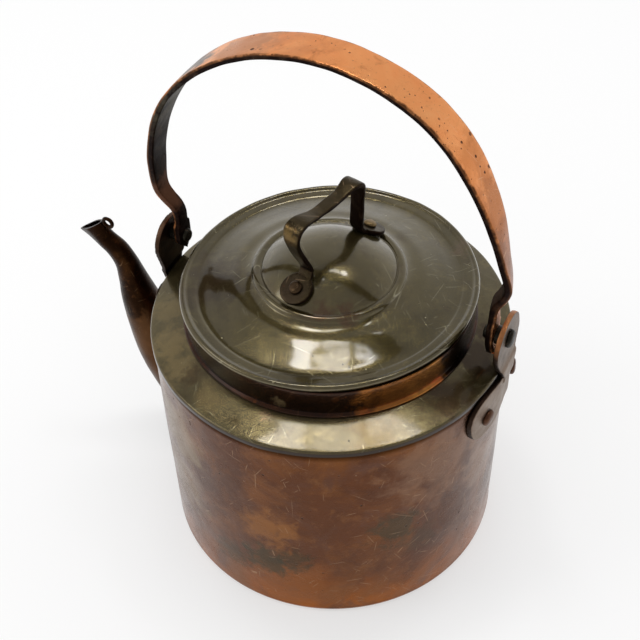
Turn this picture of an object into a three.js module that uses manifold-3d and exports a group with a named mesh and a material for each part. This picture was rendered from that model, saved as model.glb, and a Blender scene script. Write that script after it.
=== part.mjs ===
// An old copper tea kettle with a swinging bail and a lift-off lid.
// Millimetres, +Z up. The origin is the middle of the underside, and the spout points to -X.

import * as THREE from "three";
import { mergeVertices } from "three/addons/utils/BufferGeometryUtils.js";
import Module from "manifold-3d";

const wasm = await Module();
wasm.setup();

// Clearances
const GAP = 0.3; // between pieces that are soldered, riveted or resting together
const NECK_CLEARANCE = 1.4; // between the lid's flange and the inside of the neck

// Body
const SHEET = 1.5; // copper sheet of the body
const BODY_RADIUS = 104.6; // outer face of the wall
const BODY_HEIGHT = 158; // outer edge of the shoulder
const BASE_CORNER = 4; // outer radius of the rounded bottom edge
const BASE_RIM = 4.6; // height of the base's turned-up rim
const LIP_PROUD = 0.8; // how far the shoulder's lip stands out from the wall
const LIP_HEIGHT = 3.6;
const SHOULDER_RISE = 4.8; // from the outer edge to the neck
const SHOULDER_WIDTH = 20.4; // from the wall's face in to the neck's

// Neck collar
const NECK_HEIGHT = 18.6; // above the shoulder
const NECK_BEAD = 1.1; // radius of the bead at its foot
const NECK_FLANGE = 4; // width of the flange under the shoulder

// Spout
const SPOUT_SHEET = 1.4;
const SPOUT_ROOT = 16; // how far the tube runs on inwards from its first section
// Sections from root to mouth: distance from the axis, height, direction of the lower side in degrees,
// half depth in the spout's own plane and half width across it.
const SPOUT_SECTIONS = [
  [94, 28, -32, 20.8, 20.4],
  [106, 44, -33, 20, 19.8],
  [117, 61, -30, 19.2, 18.8],
  [126.5, 79, -21, 17.6, 17.2],
  [133.9, 101, -18, 14.7, 14.4],
  [139, 117, -14, 11.8, 11.6],
  [141.8, 131, -12, 9.2, 9],
  [144.8, 143, -24, 7.5, 7.2],
  [149.8, 151.6, -39, 7, 6.6],
  [157.6, 157.6, -44, 7.4, 5.9],
  [167.2, 165.2, -33.5, 10.5, 4.8],
];
const BEAK = 0.45; // share of the width taken off at the pouring end of the mouth
const EYE_RADIUS = 3.1; // centre line of the wire eye behind the mouth
const EYE_WIRE = 1.25; // wire radius

// Ears
const EAR_THICKNESS = 3;
const EAR_DISC_FRONT = 15.7; // radius of the upper lobe by the spout
const EAR_DISC_REAR = 17.6; // the same at the other ear
const EAR_DISC_DROP = 4.6; // from the pin down to the lobe's middle
const EAR_WAIST = 7.6; // half width above the foot
const EAR_WAIST_DROP = 7; // from the shoulder's edge down to the waist
const EAR_SHIFT = 1.2; // how far both ears stand to one side of the pin
const EAR_LEAN_FRONT = 1; // how much further the foot stands to that side, by the spout
const EAR_LEAN_REAR = 6.4; // the same at the other ear
const EAR_CRANK = 1.2; // how far the lobe is bent in above the shoulder
const EAR_FOOT = 34; // half width of the foot
const EAR_FOOT_DEPTH = 37; // from the shoulder's edge to the bottom of the foot
const PIVOT_RISE = 25; // height of the pin above the shoulder's edge
const RIVET_SHANK = 2.5;
const RIVET_HEAD = 5;
const RIVET_HEAD_HEIGHT = 2.4;

// Bail
const STRAP = 3.5; // thickness at the grip
const STRAP_LEGS = 4.3; // thickness of the legs and ends
const STRAP_TOP = 23; // width at the grip
const STRAP_LEG = 15.2; // width of the legs where the arch springs
const STRAP_NECK = 8.6; // width above the leaf-shaped ends
const STRAP_END = 6.2; // half width of the ends
const END_DROP_FRONT = 9.5; // from the pins down to the strap's tip by the spout
const END_DROP_REAR = 16; // the same at the other end
const END_RISE = 7.5; // from the pins up to the ends' corners
const LEG_FRONT = 6.2; // outer face of the strap outside the wall's face, by the spout
const LEG_REAR = 1.6; // the same at the other leg
const REAR_TWIST = 18.5; // twist of that leg above its joggle, in degrees
const END_INSET_FRONT = 4.6; // outer face of the end by the spout, inside the wall's face
const END_INSET_REAR = 4.2; // the same at the other end
const FRONT_JOGGLE_LOW = 17; // above the pins, where the end by the spout turns outwards
const FRONT_JOGGLE_HIGH = 34; // above the pins, where it turns up again
const REAR_JOGGLE_LOW = 20; // the same two levels at the other leg
const REAR_JOGGLE_HIGH = 39;
const FOOT_FRONT = 49; // above the pins, where the arch springs by the spout
const FOOT_REAR = 41; // the same at the other leg
const ARCH_TOP = 152; // height of the grip's upper face above the pins
// The outline of each half of the arch: share of the reach, share of the rise.
const ARCH_FRONT = [
  [0.99, 0.114],
  [0.932, 0.335],
  [0.831, 0.538],
  [0.689, 0.712],
  [0.515, 0.85],
  [0.319, 0.947],
  [0.109, 0.995],
];
const ARCH_REAR = [
  [0.963, 0.126],
  [0.943, 0.198],
  [0.898, 0.333],
  [0.806, 0.529],
  [0.687, 0.699],
  [0.527, 0.841],
  [0.33, 0.939],
  [0.112, 0.993],
];
const PIN_SHANK = 3;
const PIN_HEAD = 5.3;
const PIN_HEAD_HEIGHT = 2.8;
const PIN_INNER_HEAD = 4.2; // radius of the head inside the bail
const PIN_INNER_HEAD_HEIGHT = 2.2;
const SPACER_RADIUS = 5.2;

// Lid
const LID_SHEET = 1.2;
const RIM_BEAD = 2; // outer radius of the rolled edge
const RIM_WIRE = 0.65; // radius of the wire inside it
const RIM_BAND = 6.6; // flat band between the rolled edge and the groove
const FIELD_RISE = 9.2; // from the groove's outer side to the ring beads
const RING_RADIUS = 42.8; // outer ring bead
const RING_STEP = 3.6; // from the outer ring bead to the inner one
const RING_HEIGHT = 1.1;
const DOME_HEIGHT = 13.4;
const DOME_FULLNESS = 2.4; // 2 is a parabola, more is flatter on top
const FLANGE_DEPTH = 14;
const OUT_OF_ROUND = 3.4; // how much shorter the rim's smallest radius is
const OUT_OF_ROUND_TURN = 74; // its direction from the handle, in degrees

// Lid handle
const HANDLE_TURN = 76; // degrees from +X
const HANDLE_THICKNESS = 2.6;
const HANDLE_WIDTH = 8.6; // at the legs
const HANDLE_MIDDLE = 8; // width at the middle of the grip
const HANDLE_BEND = 11.4; // width at the bends
const HANDLE_CORNER = 7; // radius of the bends, about
const HANDLE_LOBE = 9.4; // radius of the round feet
const HANDLE_SLOPE = 27; // slope of the feet, in degrees
const HANDLE_HEIGHT = 33.5; // from the dome's top to the strap's middle
const HANDLE_DIP = 2.6; // how far the grip sags in its middle
const RIVET_NEAR = 30.8; // from the lid's axis
const RIVET_FAR = 35.2;
const NEAR_SLIP = 3.1; // how far the near foot is bent sideways
const LEG_NEAR = 21.8; // from the axis to each leg at its foot
const LEG_FAR = 24.4;
const REACH_NEAR = 30; // from the axis to each leg at the top
const REACH_FAR = 25.4;
const HANDLE_RIVET = 1.8; // shank radius
const HANDLE_RIVET_HEAD = 3.9;
const HANDLE_RIVET_HEIGHT = 2;

const AROUND = 48; // steps around the body and lid

// Derived levels
const wallInner = BODY_RADIUS - SHEET;
const shoulderOuter = BODY_RADIUS + LIP_PROUD;
const neckRadius = BODY_RADIUS - SHOULDER_WIDTH;
const neckInner = neckRadius - SHEET;
const neckBase = BODY_HEIGHT + SHOULDER_RISE;
const neckTop = neckBase + NECK_HEIGHT;
const pivotHeight = BODY_HEIGHT + PIVOT_RISE;
const waistHeight = BODY_HEIGHT - EAR_WAIST_DROP;
const earInner = shoulderOuter + GAP;
const lobeInner = earInner - EAR_CRANK;
const lobeOuter = lobeInner + EAR_THICKNESS;
const endFront = BODY_RADIUS - END_INSET_FRONT;
const endRear = BODY_RADIUS - END_INSET_REAR;
const rimHeight = neckTop + GAP + RIM_BEAD;
const rimRadius = neckRadius + 0.5;
const grooveRadius = rimRadius - RIM_BEAD - RIM_BAND;
const bandHeight = rimHeight + 0.6;
const innerRing = RING_RADIUS - RING_STEP;
const domeFoot = innerRing - 1.2;
const fieldTop = bandHeight - 1 + FIELD_RISE;
const domeBase = fieldTop + 2.2;
const domeTop = domeBase + DOME_HEIGHT;

const copper = { color: 0x7a4227, roughness: 0.38, metalness: 0.9 };
const brightCopper = { color: 0xb06a3f, roughness: 0.36, metalness: 0.9 };
const darkCopper = { color: 0x4a2a1b, roughness: 0.5, metalness: 0.8 };
const patina = { color: 0x57523e, roughness: 0.34, metalness: 0.8 };
const tinned = { color: 0x8c8878, roughness: 0.45, metalness: 0.85 };

const EARS = [
  { where: "rear", turn: 0, disc: EAR_DISC_REAR, lean: EAR_LEAN_REAR, end: endRear },
  { where: "front", turn: Math.PI, disc: EAR_DISC_FRONT, lean: EAR_LEAN_FRONT, end: endFront },
];

const kettle = new THREE.Group();
const bail = new THREE.Group();
const lid = new THREE.Group();
const kettleAndParts = new THREE.Group();
kettleAndParts.add(kettle, bail, lid);

function piece(group, name, geometry, look) {
  const mesh = new THREE.Mesh(geometry, new THREE.MeshStandardMaterial(look));
  mesh.name = name;
  group.add(mesh);
  return mesh;
}

// Closed geometry with shared vertices, as a solid that can be cut and joined.
function solid(geometry) {
  const bare = geometry.clone();
  bare.deleteAttribute("normal");
  bare.deleteAttribute("uv");
  const merged = mergeVertices(bare, 1e-4);
  return new wasm.Manifold(
    new wasm.Mesh({
      numProp: 3,
      vertProperties: merged.attributes.position.array,
      triVerts: new Uint32Array(merged.index.array),
    }),
  );
}

function geometryOf(body) {
  const mesh = body.getMesh();
  const geometry = new THREE.BufferGeometry();
  geometry.setAttribute("position", new THREE.BufferAttribute(mesh.vertProperties, 3));
  geometry.setIndex(new THREE.BufferAttribute(mesh.triVerts, 1));
  geometry.computeVertexNormals();
  return geometry;
}

// A profile of [radius, height] points turned around the Z axis; the profile closes on itself.
function turned(profile, steps = AROUND) {
  const points = profile.map(([r, z]) => new THREE.Vector2(r, z));
  const closes = profile[0][0] < 1e-6 && profile[profile.length - 1][0] < 1e-6;
  if (!closes) points.push(points[0].clone());
  return new THREE.LatheGeometry(points, steps).rotateX(Math.PI / 2);
}

// Points of a circular arc in a profile, from one angle to another, in degrees.
function arc(r, z, radius, from, to, steps) {
  return Array.from({ length: steps + 1 }, (_, i) => {
    const a = THREE.MathUtils.degToRad(from + ((to - from) * i) / steps);
    return [r + radius * Math.cos(a), z + radius * Math.sin(a)];
  });
}

// A closed skin over rings of points, each ring with the same number of points, capped at both ends.
function lofted(rings) {
  const count = rings[0].length;
  const points = rings.flat();
  const index = [];
  for (let i = 0; i + 1 < rings.length; i++) {
    for (let j = 0; j < count; j++) {
      const a = i * count + j;
      const b = i * count + ((j + 1) % count);
      index.push(a, b, b + count, a, b + count, a + count);
    }
  }
  for (const [ring, start, flip] of [
    [rings[0], 0, true],
    [rings[rings.length - 1], (rings.length - 1) * count, false],
  ]) {
    const middle = points.length;
    const centre = new THREE.Vector3();
    ring.forEach((p) => centre.add(p));
    points.push(centre.divideScalar(count));
    for (let j = 0; j < count; j++) {
      const a = start + j;
      const b = start + ((j + 1) % count);
      index.push(...(flip ? [middle, b, a] : [middle, a, b]));
    }
  }
  const geometry = new THREE.BufferGeometry().setFromPoints(points);
  geometry.setIndex(index);
  geometry.computeVertexNormals();
  return geometry;
}

// A round bar along X, from a profile of [radius, x] points that starts and ends on its axis.
function barAlongX(profile, steps) {
  return turned(profile, steps).rotateY(Math.PI / 2);
}

// Body: base, wall, shoulder and neck
function baseGeometry() {
  const corner = arc(BODY_RADIUS - BASE_CORNER, BASE_CORNER, BASE_CORNER, -90, 0, 4);
  const inside = arc(BODY_RADIUS - BASE_CORNER, BASE_CORNER, BASE_CORNER - SHEET, 0, -90, 3);
  return turned([[0, 0], ...corner, [BODY_RADIUS, BASE_RIM], [wallInner, BASE_RIM], ...inside, [0, SHEET]]);
}

function wallGeometry() {
  const tucked = shoulderOuter - SHEET - GAP; // outer face where it tucks under the shoulder's lip
  const foot = BASE_RIM + GAP;
  const lip = BODY_HEIGHT - LIP_HEIGHT - GAP;
  const top = BODY_HEIGHT - SHEET - 3 * GAP;
  return turned([
    [BODY_RADIUS, foot],
    [BODY_RADIUS, (foot + lip) / 2],
    [BODY_RADIUS, lip - SHEET],
    [tucked, lip],
    [tucked, top],
    [tucked - SHEET, top],
    [tucked - SHEET, lip],
    [wallInner, lip - SHEET],
    [wallInner, (foot + lip) / 2],
    [wallInner, foot],
  ]);
}

function shoulderSlope(r) {
  return BODY_HEIGHT + (SHOULDER_RISE * (shoulderOuter - r)) / (shoulderOuter - neckRadius);
}

function shoulderGeometry() {
  const inner = neckRadius + GAP;
  const bend = 1.6;
  const outer = arc(shoulderOuter - bend, BODY_HEIGHT - bend + 0.3, bend, 75, 0, 3);
  return turned([
    [shoulderOuter, BODY_HEIGHT - LIP_HEIGHT],
    ...outer.reverse(),
    [inner, shoulderSlope(inner)],
    [inner, shoulderSlope(inner) - SHEET],
    [shoulderOuter - SHEET - 1, shoulderSlope(shoulderOuter - SHEET - 1) - SHEET],
    [shoulderOuter - SHEET, BODY_HEIGHT - SHEET - 0.6],
    [shoulderOuter - SHEET, BODY_HEIGHT - LIP_HEIGHT],
  ]);
}

function neckGeometry() {
  const beadMiddle = shoulderSlope(neckRadius + NECK_BEAD) + GAP + NECK_BEAD;
  const under = neckRadius + GAP;
  const flangeTop = (r) => shoulderSlope(r) - SHEET - GAP;
  const wide = neckRadius + NECK_FLANGE;
  return turned([
    [neckInner, flangeTop(wide) - SHEET],
    [wide, flangeTop(wide) - SHEET],
    [wide, flangeTop(wide)],
    [under - GAP, flangeTop(under)],
    [neckRadius, beadMiddle - NECK_BEAD],
    ...arc(neckRadius + 0.5, beadMiddle, NECK_BEAD, -70, 70, 4),
    [neckRadius, beadMiddle + NECK_BEAD + 0.4],
    [neckRadius, neckTop - 0.4],
    [neckRadius - 0.4, neckTop],
    [neckInner + 0.4, neckTop],
    [neckInner, neckTop - 0.4],
  ]);
}

// Spout
const spoutCurves = [0, 1, 2, 3, 4].map(
  (column) =>
    new THREE.CatmullRomCurve3(
      SPOUT_SECTIONS.map((row, i) => new THREE.Vector3(row[column], i * 10, 0)),
      false,
      "catmullrom",
      0.5,
    ),
);

// One section of the spout at t from 0 at the root to 1 at the mouth, made smaller by inset.
function spoutRing(t, inset, count, slide = 0) {
  const [reach, height, aim, depth, width] = spoutCurves.map((curve) => curve.getPoint(t).x);
  const low = THREE.MathUtils.degToRad(aim);
  const beak = BEAK * THREE.MathUtils.smoothstep(t, 0.86, 1);
  return Array.from({ length: count }, (_, j) => {
    const a = (j / count) * 2 * Math.PI;
    const along = (depth - inset) * Math.cos(a);
    const side = (inset - width) * Math.sin(a) * (1 - beak * Math.max(0, Math.cos(a)));
    return new THREE.Vector3(
      -(reach + along * Math.cos(low) - slide * Math.sin(low)),
      side,
      height + along * Math.sin(low) + slide * Math.cos(low),
    );
  });
}

// The spout's skin from inside the wall to the mouth, and past the mouth by overrun.
function spoutSkin(inset, count, steps, overrun) {
  const rings = Array.from({ length: steps + 1 }, (_, i) => spoutRing(i / steps, inset, count));
  rings.unshift(spoutRing(0, inset, count, -SPOUT_ROOT));
  if (overrun) {
    rings.push(spoutRing(1, inset, count, overrun));
  }
  return solid(lofted(rings));
}

function bodyCore(radius) {
  return solid(turned([[0, -1], [radius, -1], [radius, BODY_HEIGHT], [0, BODY_HEIGHT]]));
}

const spoutBore = spoutSkin(SPOUT_SHEET, 18, 22, 4);

function spoutGeometry() {
  const outside = spoutSkin(0, 18, 22, 0);
  return geometryOf(outside.subtract(spoutBore).subtract(bodyCore(BODY_RADIUS + GAP)));
}

function eyeGeometry() {
  const [reach, height, aim, depth] = spoutCurves.map((curve) => curve.getPoint(1).x);
  const low = THREE.MathUtils.degToRad(aim);
  const back = depth + GAP + EYE_WIRE + EYE_RADIUS + 0.2;
  const lift = -EYE_RADIUS * 0.73;
  const ring = new THREE.TorusGeometry(EYE_RADIUS, EYE_WIRE, 7, 16).rotateX(Math.PI / 2);
  ring.translate(
    -(reach - back * Math.cos(low) - lift * Math.sin(low)),
    0,
    height - back * Math.sin(low) + lift * Math.cos(low),
  );
  return ring;
}

// Ears: a flat lobe above the shoulder and a foot that follows the wall
// One side of the foot's outline, as shares of its half width and its depth below the waist.
// Each row is one curve: two handles and its end.
const FOOT_OUTLINE = [
  [[0.17, 0.89], [0.29, 1], [0.52, 1]],
  [[0.74, 1], [0.9, 0.9], [0.95, 0.72]],
  [[1.03, 0.46], [1, 0.23], [0.8, 0.11]],
  [[0.6, 0.03], [0.42, 0.12], [0.25, 0.15]],
];

// How far the ear's middle line stands beside the pin at a height
function asideAt(height, lean) {
  return EAR_SHIFT + lean * THREE.MathUtils.clamp((pivotHeight - height) / (pivotHeight - waistHeight), 0, 1);
}

function footShape(lean) {
  const top = BODY_HEIGHT - 2 * GAP;
  const place = ([across, down], side) => [
    side * across * EAR_FOOT + (EAR_SHIFT + lean) * (1 - across) * 1.2,
    top - down * EAR_FOOT_DEPTH,
  ];
  const shape = new THREE.Shape();
  shape.moveTo(...place([0, 0.87], 1));
  for (const curve of FOOT_OUTLINE) shape.bezierCurveTo(...curve.flatMap((point) => place(point, 1)));
  const ends = [[0, 0.87], ...FOOT_OUTLINE.map((curve) => curve[2])];
  shape.lineTo(...place(ends[FOOT_OUTLINE.length], -1));
  for (let i = FOOT_OUTLINE.length - 1; i >= 0; i--) {
    const [first, second] = FOOT_OUTLINE[i];
    shape.bezierCurveTo(...[second, first, ends[i]].flatMap((point) => place(point, -1)));
  }
  return shape;
}

// The lobe: level slices of a round plate with straight sides down to its waist, bent in above the shoulder.
function lobeGeometry({ disc, lean }) {
  const middle = pivotHeight - EAR_DISC_DROP;
  const rise = middle - waistHeight;
  const reach = Math.hypot(EAR_WAIST, rise);
  const join = Math.atan2(EAR_WAIST, rise) + Math.acos(Math.min(1, disc / reach));
  const widening = (disc * Math.sin(join) - EAR_WAIST) / (rise - disc * Math.cos(join));
  const bend = shoulderSlope(lobeInner) + 1;
  const straight = (z) => [z, EAR_WAIST + widening * (z - waistHeight)];
  const slices = [[waistHeight - 4, EAR_WAIST], straight(waistHeight), straight(bend), straight(bend + 3)];
  const steps = 16;
  for (let i = 0; i <= steps; i++) {
    const a = join + ((Math.PI - 0.12 - join) * i) / steps;
    slices.push([middle - disc * Math.cos(a), disc * Math.sin(a)]);
  }
  return lofted(
    slices.map(([z, half], i) => {
      const inside = i < 3 ? earInner : lobeInner;
      const aside = asideAt(z, lean);
      return [
        new THREE.Vector3(inside, aside - half, z),
        new THREE.Vector3(inside + EAR_THICKNESS, aside - half, z),
        new THREE.Vector3(inside + EAR_THICKNESS, aside + half, z),
        new THREE.Vector3(inside, aside + half, z),
      ];
    }),
  );
}

// A shape drawn in the plane of Y and Z, made solid between two distances from the axis.
function plateAcrossX(shape, from, to, curveSegments) {
  const plate = new THREE.ExtrudeGeometry(shape, { depth: to - from, bevelEnabled: false, curveSegments });
  return plate.rotateX(Math.PI / 2).rotateZ(Math.PI / 2).translate(from, 0, 0);
}

function rod(radius, from, to, steps = 20) {
  return solid(barAlongX([[0, from], [radius, from], [radius, to], [0, to]], steps));
}

function earGeometry(ear) {
  const skinInner = BODY_RADIUS + GAP;
  const skinOuter = skinInner + EAR_THICKNESS;
  const low = BODY_HEIGHT - EAR_FOOT_DEPTH - SHEET;
  const shell = solid(
    turned([[skinInner, low], [skinOuter, low], [skinOuter, BODY_HEIGHT], [skinInner, BODY_HEIGHT]]),
  );
  const outline = footShape(ear.lean);
  const foot = solid(plateAcrossX(outline, BODY_RADIUS / 2, skinOuter + GAP, 6)).intersect(shell);
  const lobe = solid(lobeGeometry(ear));
  const pinHole = rod(PIN_SHANK + GAP, lobeInner - SHEET, lobeOuter + SHEET);
  let plate = foot.add(lobe).subtract(lipClearance());
  plate = plate.subtract(pinHole.translate(0, 0, pivotHeight));
  for (const side of [-1, 1]) plate = plate.subtract(rivetHole(side, ear.lean));
  return geometryOf(plate);
}

// Space that the shoulder's lip takes, so that an ear stays clear of it.
function lipClearance() {
  const low = BODY_HEIGHT - LIP_HEIGHT - GAP;
  const wide = shoulderOuter + GAP;
  const high = shoulderSlope(lobeInner) + 2 * GAP;
  return solid(turned([[0, low], [wide, low], [wide, BODY_HEIGHT], [lobeInner, high], [0, high]]));
}

// The rivets sit in the two halves of the foot, below half its height.
const rivetHeight = BODY_HEIGHT - EAR_FOOT_DEPTH * 0.6;

function rivetTurn(side, lean) {
  return Math.asin((side * EAR_FOOT * 0.613 + (EAR_SHIFT + lean) * 0.387) / BODY_RADIUS);
}

function rivetHole(side, lean) {
  const hole = rod(RIVET_SHANK + GAP, wallInner - 6, BODY_RADIUS + EAR_THICKNESS + 6, 16);
  return hole.rotate([0, 0, THREE.MathUtils.radToDeg(rivetTurn(side, lean))]).translate(0, 0, rivetHeight);
}

function wallWithHoles() {
  let wall = solid(wallGeometry()).subtract(spoutBore);
  for (const { turn, lean } of EARS) {
    for (const side of [-1, 1]) {
      wall = wall.subtract(rivetHole(side, lean).rotate([0, 0, THREE.MathUtils.radToDeg(turn)]));
    }
  }
  return geometryOf(wall);
}

// A rivet through the wall and an ear's foot: hammered head inside, domed head outside.
function earRivetGeometry() {
  const outer = BODY_RADIUS + 2 * GAP + EAR_THICKNESS;
  const inner = Math.sqrt(wallInner ** 2 - RIVET_HEAD ** 2) * Math.cos(Math.PI / AROUND) - GAP;
  return barAlongX(
    [
      [0, inner - 1.4],
      [RIVET_HEAD - 1, inner - 1.4],
      [RIVET_HEAD - 0.2, inner],
      [RIVET_SHANK, inner],
      [RIVET_SHANK, outer],
      [RIVET_HEAD, outer],
      [RIVET_HEAD * 0.94, outer + RIVET_HEAD_HEIGHT * 0.45],
      [RIVET_HEAD * 0.66, outer + RIVET_HEAD_HEIGHT * 0.85],
      [0, outer + RIVET_HEAD_HEIGHT],
    ],
    12,
  );
}

// Bail: one strap, bent outwards above each pin and over in an arch
function bailPath() {
  const path = [];
  const halves = [
    [-1, endFront, BODY_RADIUS + LEG_FRONT, FRONT_JOGGLE_LOW, FRONT_JOGGLE_HIGH, FOOT_FRONT, ARCH_FRONT],
    [1, endRear, BODY_RADIUS + LEG_REAR, REAR_JOGGLE_LOW, REAR_JOGGLE_HIGH, FOOT_REAR, ARCH_REAR],
  ];
  for (const [side, end, leg, low, high, foot, outline] of halves) {
    const out = leg - end;
    const up = high - low;
    const half = [
      [end, side < 0 ? -END_DROP_FRONT : -END_DROP_REAR],
      [end, 0],
      [end, low * 0.6],
      [end, low],
      [end + out * 0.16, low + up * 0.22],
      [end + out * 0.52, low + up * 0.44],
      [end + out * 0.84, low + up * 0.7],
      [leg, high],
      ...(foot > high + 4 ? [[leg, foot]] : []),
      ...outline.map(([reach, rise]) => [leg * reach, foot + (ARCH_TOP - foot) * rise]),
    ];
    const placed = half.map(([x, z]) => new THREE.Vector3(side * x, 0, pivotHeight + z));
    const grip = new THREE.Vector3(0, 0, pivotHeight + ARCH_TOP);
    path.push(...(side < 0 ? [...placed, grip] : placed.reverse()));
  }
  return path;
}

// Width of the strap at a point: rounded ends, narrow necks above them, then wider up to the grip
function strapWidth(point) {
  const height = point.z - pivotHeight;
  const drop = point.x < 0 ? END_DROP_FRONT : END_DROP_REAR;
  if (height < 0) return 2 * STRAP_END * (1 - Math.min(1, -height / drop) ** 2);
  const neck = THREE.MathUtils.smoothstep(height, END_RISE, END_RISE + 3);
  const leg = THREE.MathUtils.smoothstep(height, FRONT_JOGGLE_LOW - 3, FOOT_FRONT + 11);
  const top = THREE.MathUtils.smoothstep(height, FOOT_FRONT + 9, ARCH_TOP * 0.77);
  const narrow = THREE.MathUtils.lerp(2 * STRAP_END, STRAP_NECK, neck);
  return narrow + (STRAP_LEG - STRAP_NECK) * leg + (STRAP_TOP - STRAP_LEG) * top;
}

function strapThickness(height) {
  const up = THREE.MathUtils.smoothstep(height, REAR_JOGGLE_HIGH, ARCH_TOP * 0.8);
  return THREE.MathUtils.lerp(STRAP_LEGS, STRAP, up);
}

// Direction across the strap: the rear leg is twisted above its joggle, and runs straight at its pin.
function strapSide(point) {
  const height = point.z - pivotHeight;
  const above = THREE.MathUtils.smoothstep(height, END_RISE + 1, REAR_JOGGLE_LOW + 8);
  const below = 1 - THREE.MathUtils.smoothstep(height, REAR_JOGGLE_HIGH - 5, REAR_JOGGLE_HIGH + 43);
  const twist = point.x > 0 ? THREE.MathUtils.degToRad(REAR_TWIST) * above * below : 0;
  return new THREE.Vector3(-Math.sin(twist), Math.cos(twist), 0);
}

// Rings of a flat strap with eased corners, along points with a direction across it at each.
// The points lie in the strap's middle, or on its outer face when it hangs from them.
function strapRings(points, sideAt, widthAt, thicknessAt, hangs = false) {
  return points.map((p, i) => {
    const before = points[Math.max(0, i - 1)];
    const after = points[Math.min(points.length - 1, i + 1)];
    const along = after.clone().sub(before).normalize();
    const side = sideAt(p);
    const out = new THREE.Vector3().crossVectors(along, side).normalize();
    const w = Math.max(0.6, widthAt(p, i) / 2);
    const t = thicknessAt(p, i) / 2;
    const ease = Math.min(t * 0.55, w * 0.5);
    const corners = [
      [w, t - ease],
      [w - ease, t],
      [0, t + 0.15],
      [ease - w, t],
      [-w, t - ease],
      [-w, ease - t],
      [ease - w, -t],
      [w - ease, -t],
      [w, ease - t],
    ];
    const drop = hangs ? t : 0;
    return corners.map(([a, b]) => p.clone().addScaledVector(side, a).addScaledVector(out, b - drop));
  });
}

function bailGeometry() {
  const curve = new THREE.CatmullRomCurve3(bailPath(), false, "centripetal");
  const steps = 150;
  const points = curve.getSpacedPoints(steps);
  const ends = [0.25, 1, 2.2];
  const first = points[0];
  const last = points[steps];
  // Close steps in the legs, and closer ones where the ends round off below the pins.
  const legTop = pivotHeight + REAR_JOGGLE_HIGH + 4;
  const middle = points.filter((p, i) => p.z > first.z + 3 && (p.z < legTop || i % 3 === 0));
  const rounded = [
    ...ends.map((d) => first.clone().add(new THREE.Vector3(0, 0, d))),
    ...middle,
    ...ends.toReversed().map((d) => last.clone().add(new THREE.Vector3(0, 0, d))),
  ];
  const rings = strapRings(
    rounded,
    strapSide,
    strapWidth,
    (p) => strapThickness(p.z - pivotHeight),
    true,
  );
  const strap = solid(lofted(rings));
  const hole = rod(PIN_SHANK + GAP, endFront - STRAP_LEGS - 5, endRear + 5).translate(0, 0, pivotHeight);
  return geometryOf(strap.subtract(hole).subtract(hole.rotate([0, 0, 180])));
}

function pinGeometry({ end }) {
  const outer = lobeOuter + GAP;
  const inner = end - STRAP_LEGS - GAP;
  return barAlongX(
    [
      [0, inner - PIN_INNER_HEAD_HEIGHT],
      [PIN_INNER_HEAD * 0.75, inner - PIN_INNER_HEAD_HEIGHT],
      [PIN_INNER_HEAD, inner - PIN_INNER_HEAD_HEIGHT * 0.4],
      [PIN_INNER_HEAD, inner],
      [PIN_SHANK, inner],
      [PIN_SHANK, outer],
      [PIN_HEAD, outer],
      [PIN_HEAD, outer + PIN_HEAD_HEIGHT * 0.6],
      [PIN_HEAD * 0.72, outer + PIN_HEAD_HEIGHT],
      [0, outer + PIN_HEAD_HEIGHT],
    ],
    16,
  );
}

function spacerGeometry({ end }) {
  const from = end + GAP + 0.15;
  const to = lobeInner - GAP;
  const bore = PIN_SHANK + GAP;
  return barAlongX([[bore, from], [SPACER_RADIUS, from], [SPACER_RADIUS, to], [bore, to]], 16);
}

// Lid: a raised disc with a wired edge, a flange and a strap handle
function domeHeightAt(r) {
  return domeTop - DOME_HEIGHT * (r / domeFoot) ** DOME_FULLNESS;
}

function domeProfile(steps) {
  return Array.from({ length: steps + 1 }, (_, i) => {
    const r = (domeFoot * i) / steps;
    return [r, domeHeightAt(r)];
  });
}

// The lid's edge is out of round: its radius shrinks towards the rim, most in one direction.
function outOfRound(geometry) {
  const turn = THREE.MathUtils.degToRad(OUT_OF_ROUND_TURN);
  const from = RING_RADIUS + 1.4;
  const position = geometry.attributes.position;
  for (let i = 0; i < position.count; i++) {
    const r = Math.hypot(position.getX(i), position.getY(i));
    const share = THREE.MathUtils.clamp((r - from) / (rimRadius - from), 0, 1) ** 2;
    const across = Math.cos(Math.atan2(position.getY(i), position.getX(i)) - turn) ** 2;
    const scale = r > from ? 1 - (OUT_OF_ROUND * share * across) / r : 1;
    position.setXY(i, position.getX(i) * scale, position.getY(i) * scale);
  }
  return geometry;
}

function lidTop() {
  const outer = RING_RADIUS;
  const edge = fieldTop - 0.4;
  return [
    ...domeProfile(7),
    [innerRing - 0.6, domeBase - 0.7],
    [innerRing + 0.3, domeBase - 0.2],
    [innerRing + 1.8, domeBase - 0.1],
    [outer - 0.2, edge + RING_HEIGHT + 0.9],
    [outer + 0.8, edge + RING_HEIGHT],
    [outer + 1.4, edge],
    [outer + 12, bandHeight - 1 + FIELD_RISE * 0.62],
    [outer + 23, bandHeight - 1 + FIELD_RISE * 0.26],
    [grooveRadius - 1.6, bandHeight - 1],
    [grooveRadius, bandHeight - 1.5],
    [grooveRadius + 1.5, bandHeight - 0.2],
    [rimRadius - RIM_BEAD - 0.8, bandHeight],
  ];
}

function lidGeometry() {
  const top = lidTop();
  const under = [
    ...domeProfile(5),
    [innerRing - 0.5, domeBase - 0.5],
    [RING_RADIUS + 1.2, fieldTop - 0.4],
    [grooveRadius - 1.6, bandHeight - 1],
    [grooveRadius, bandHeight - 1.5],
    [rimRadius - RIM_BEAD - 0.8, bandHeight],
  ];
  const underside = under.reverse().map(([r, z]) => [r, z - LID_SHEET]);
  const roll = arc(rimRadius, rimHeight, RIM_BEAD, 148, -125, 9);
  const inside = arc(rimRadius, rimHeight, RIM_BEAD - LID_SHEET * 0.85, -125, 200, 6);
  return solid(outOfRound(turned([...top, ...roll, ...inside, ...underside].reverse())));
}

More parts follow.
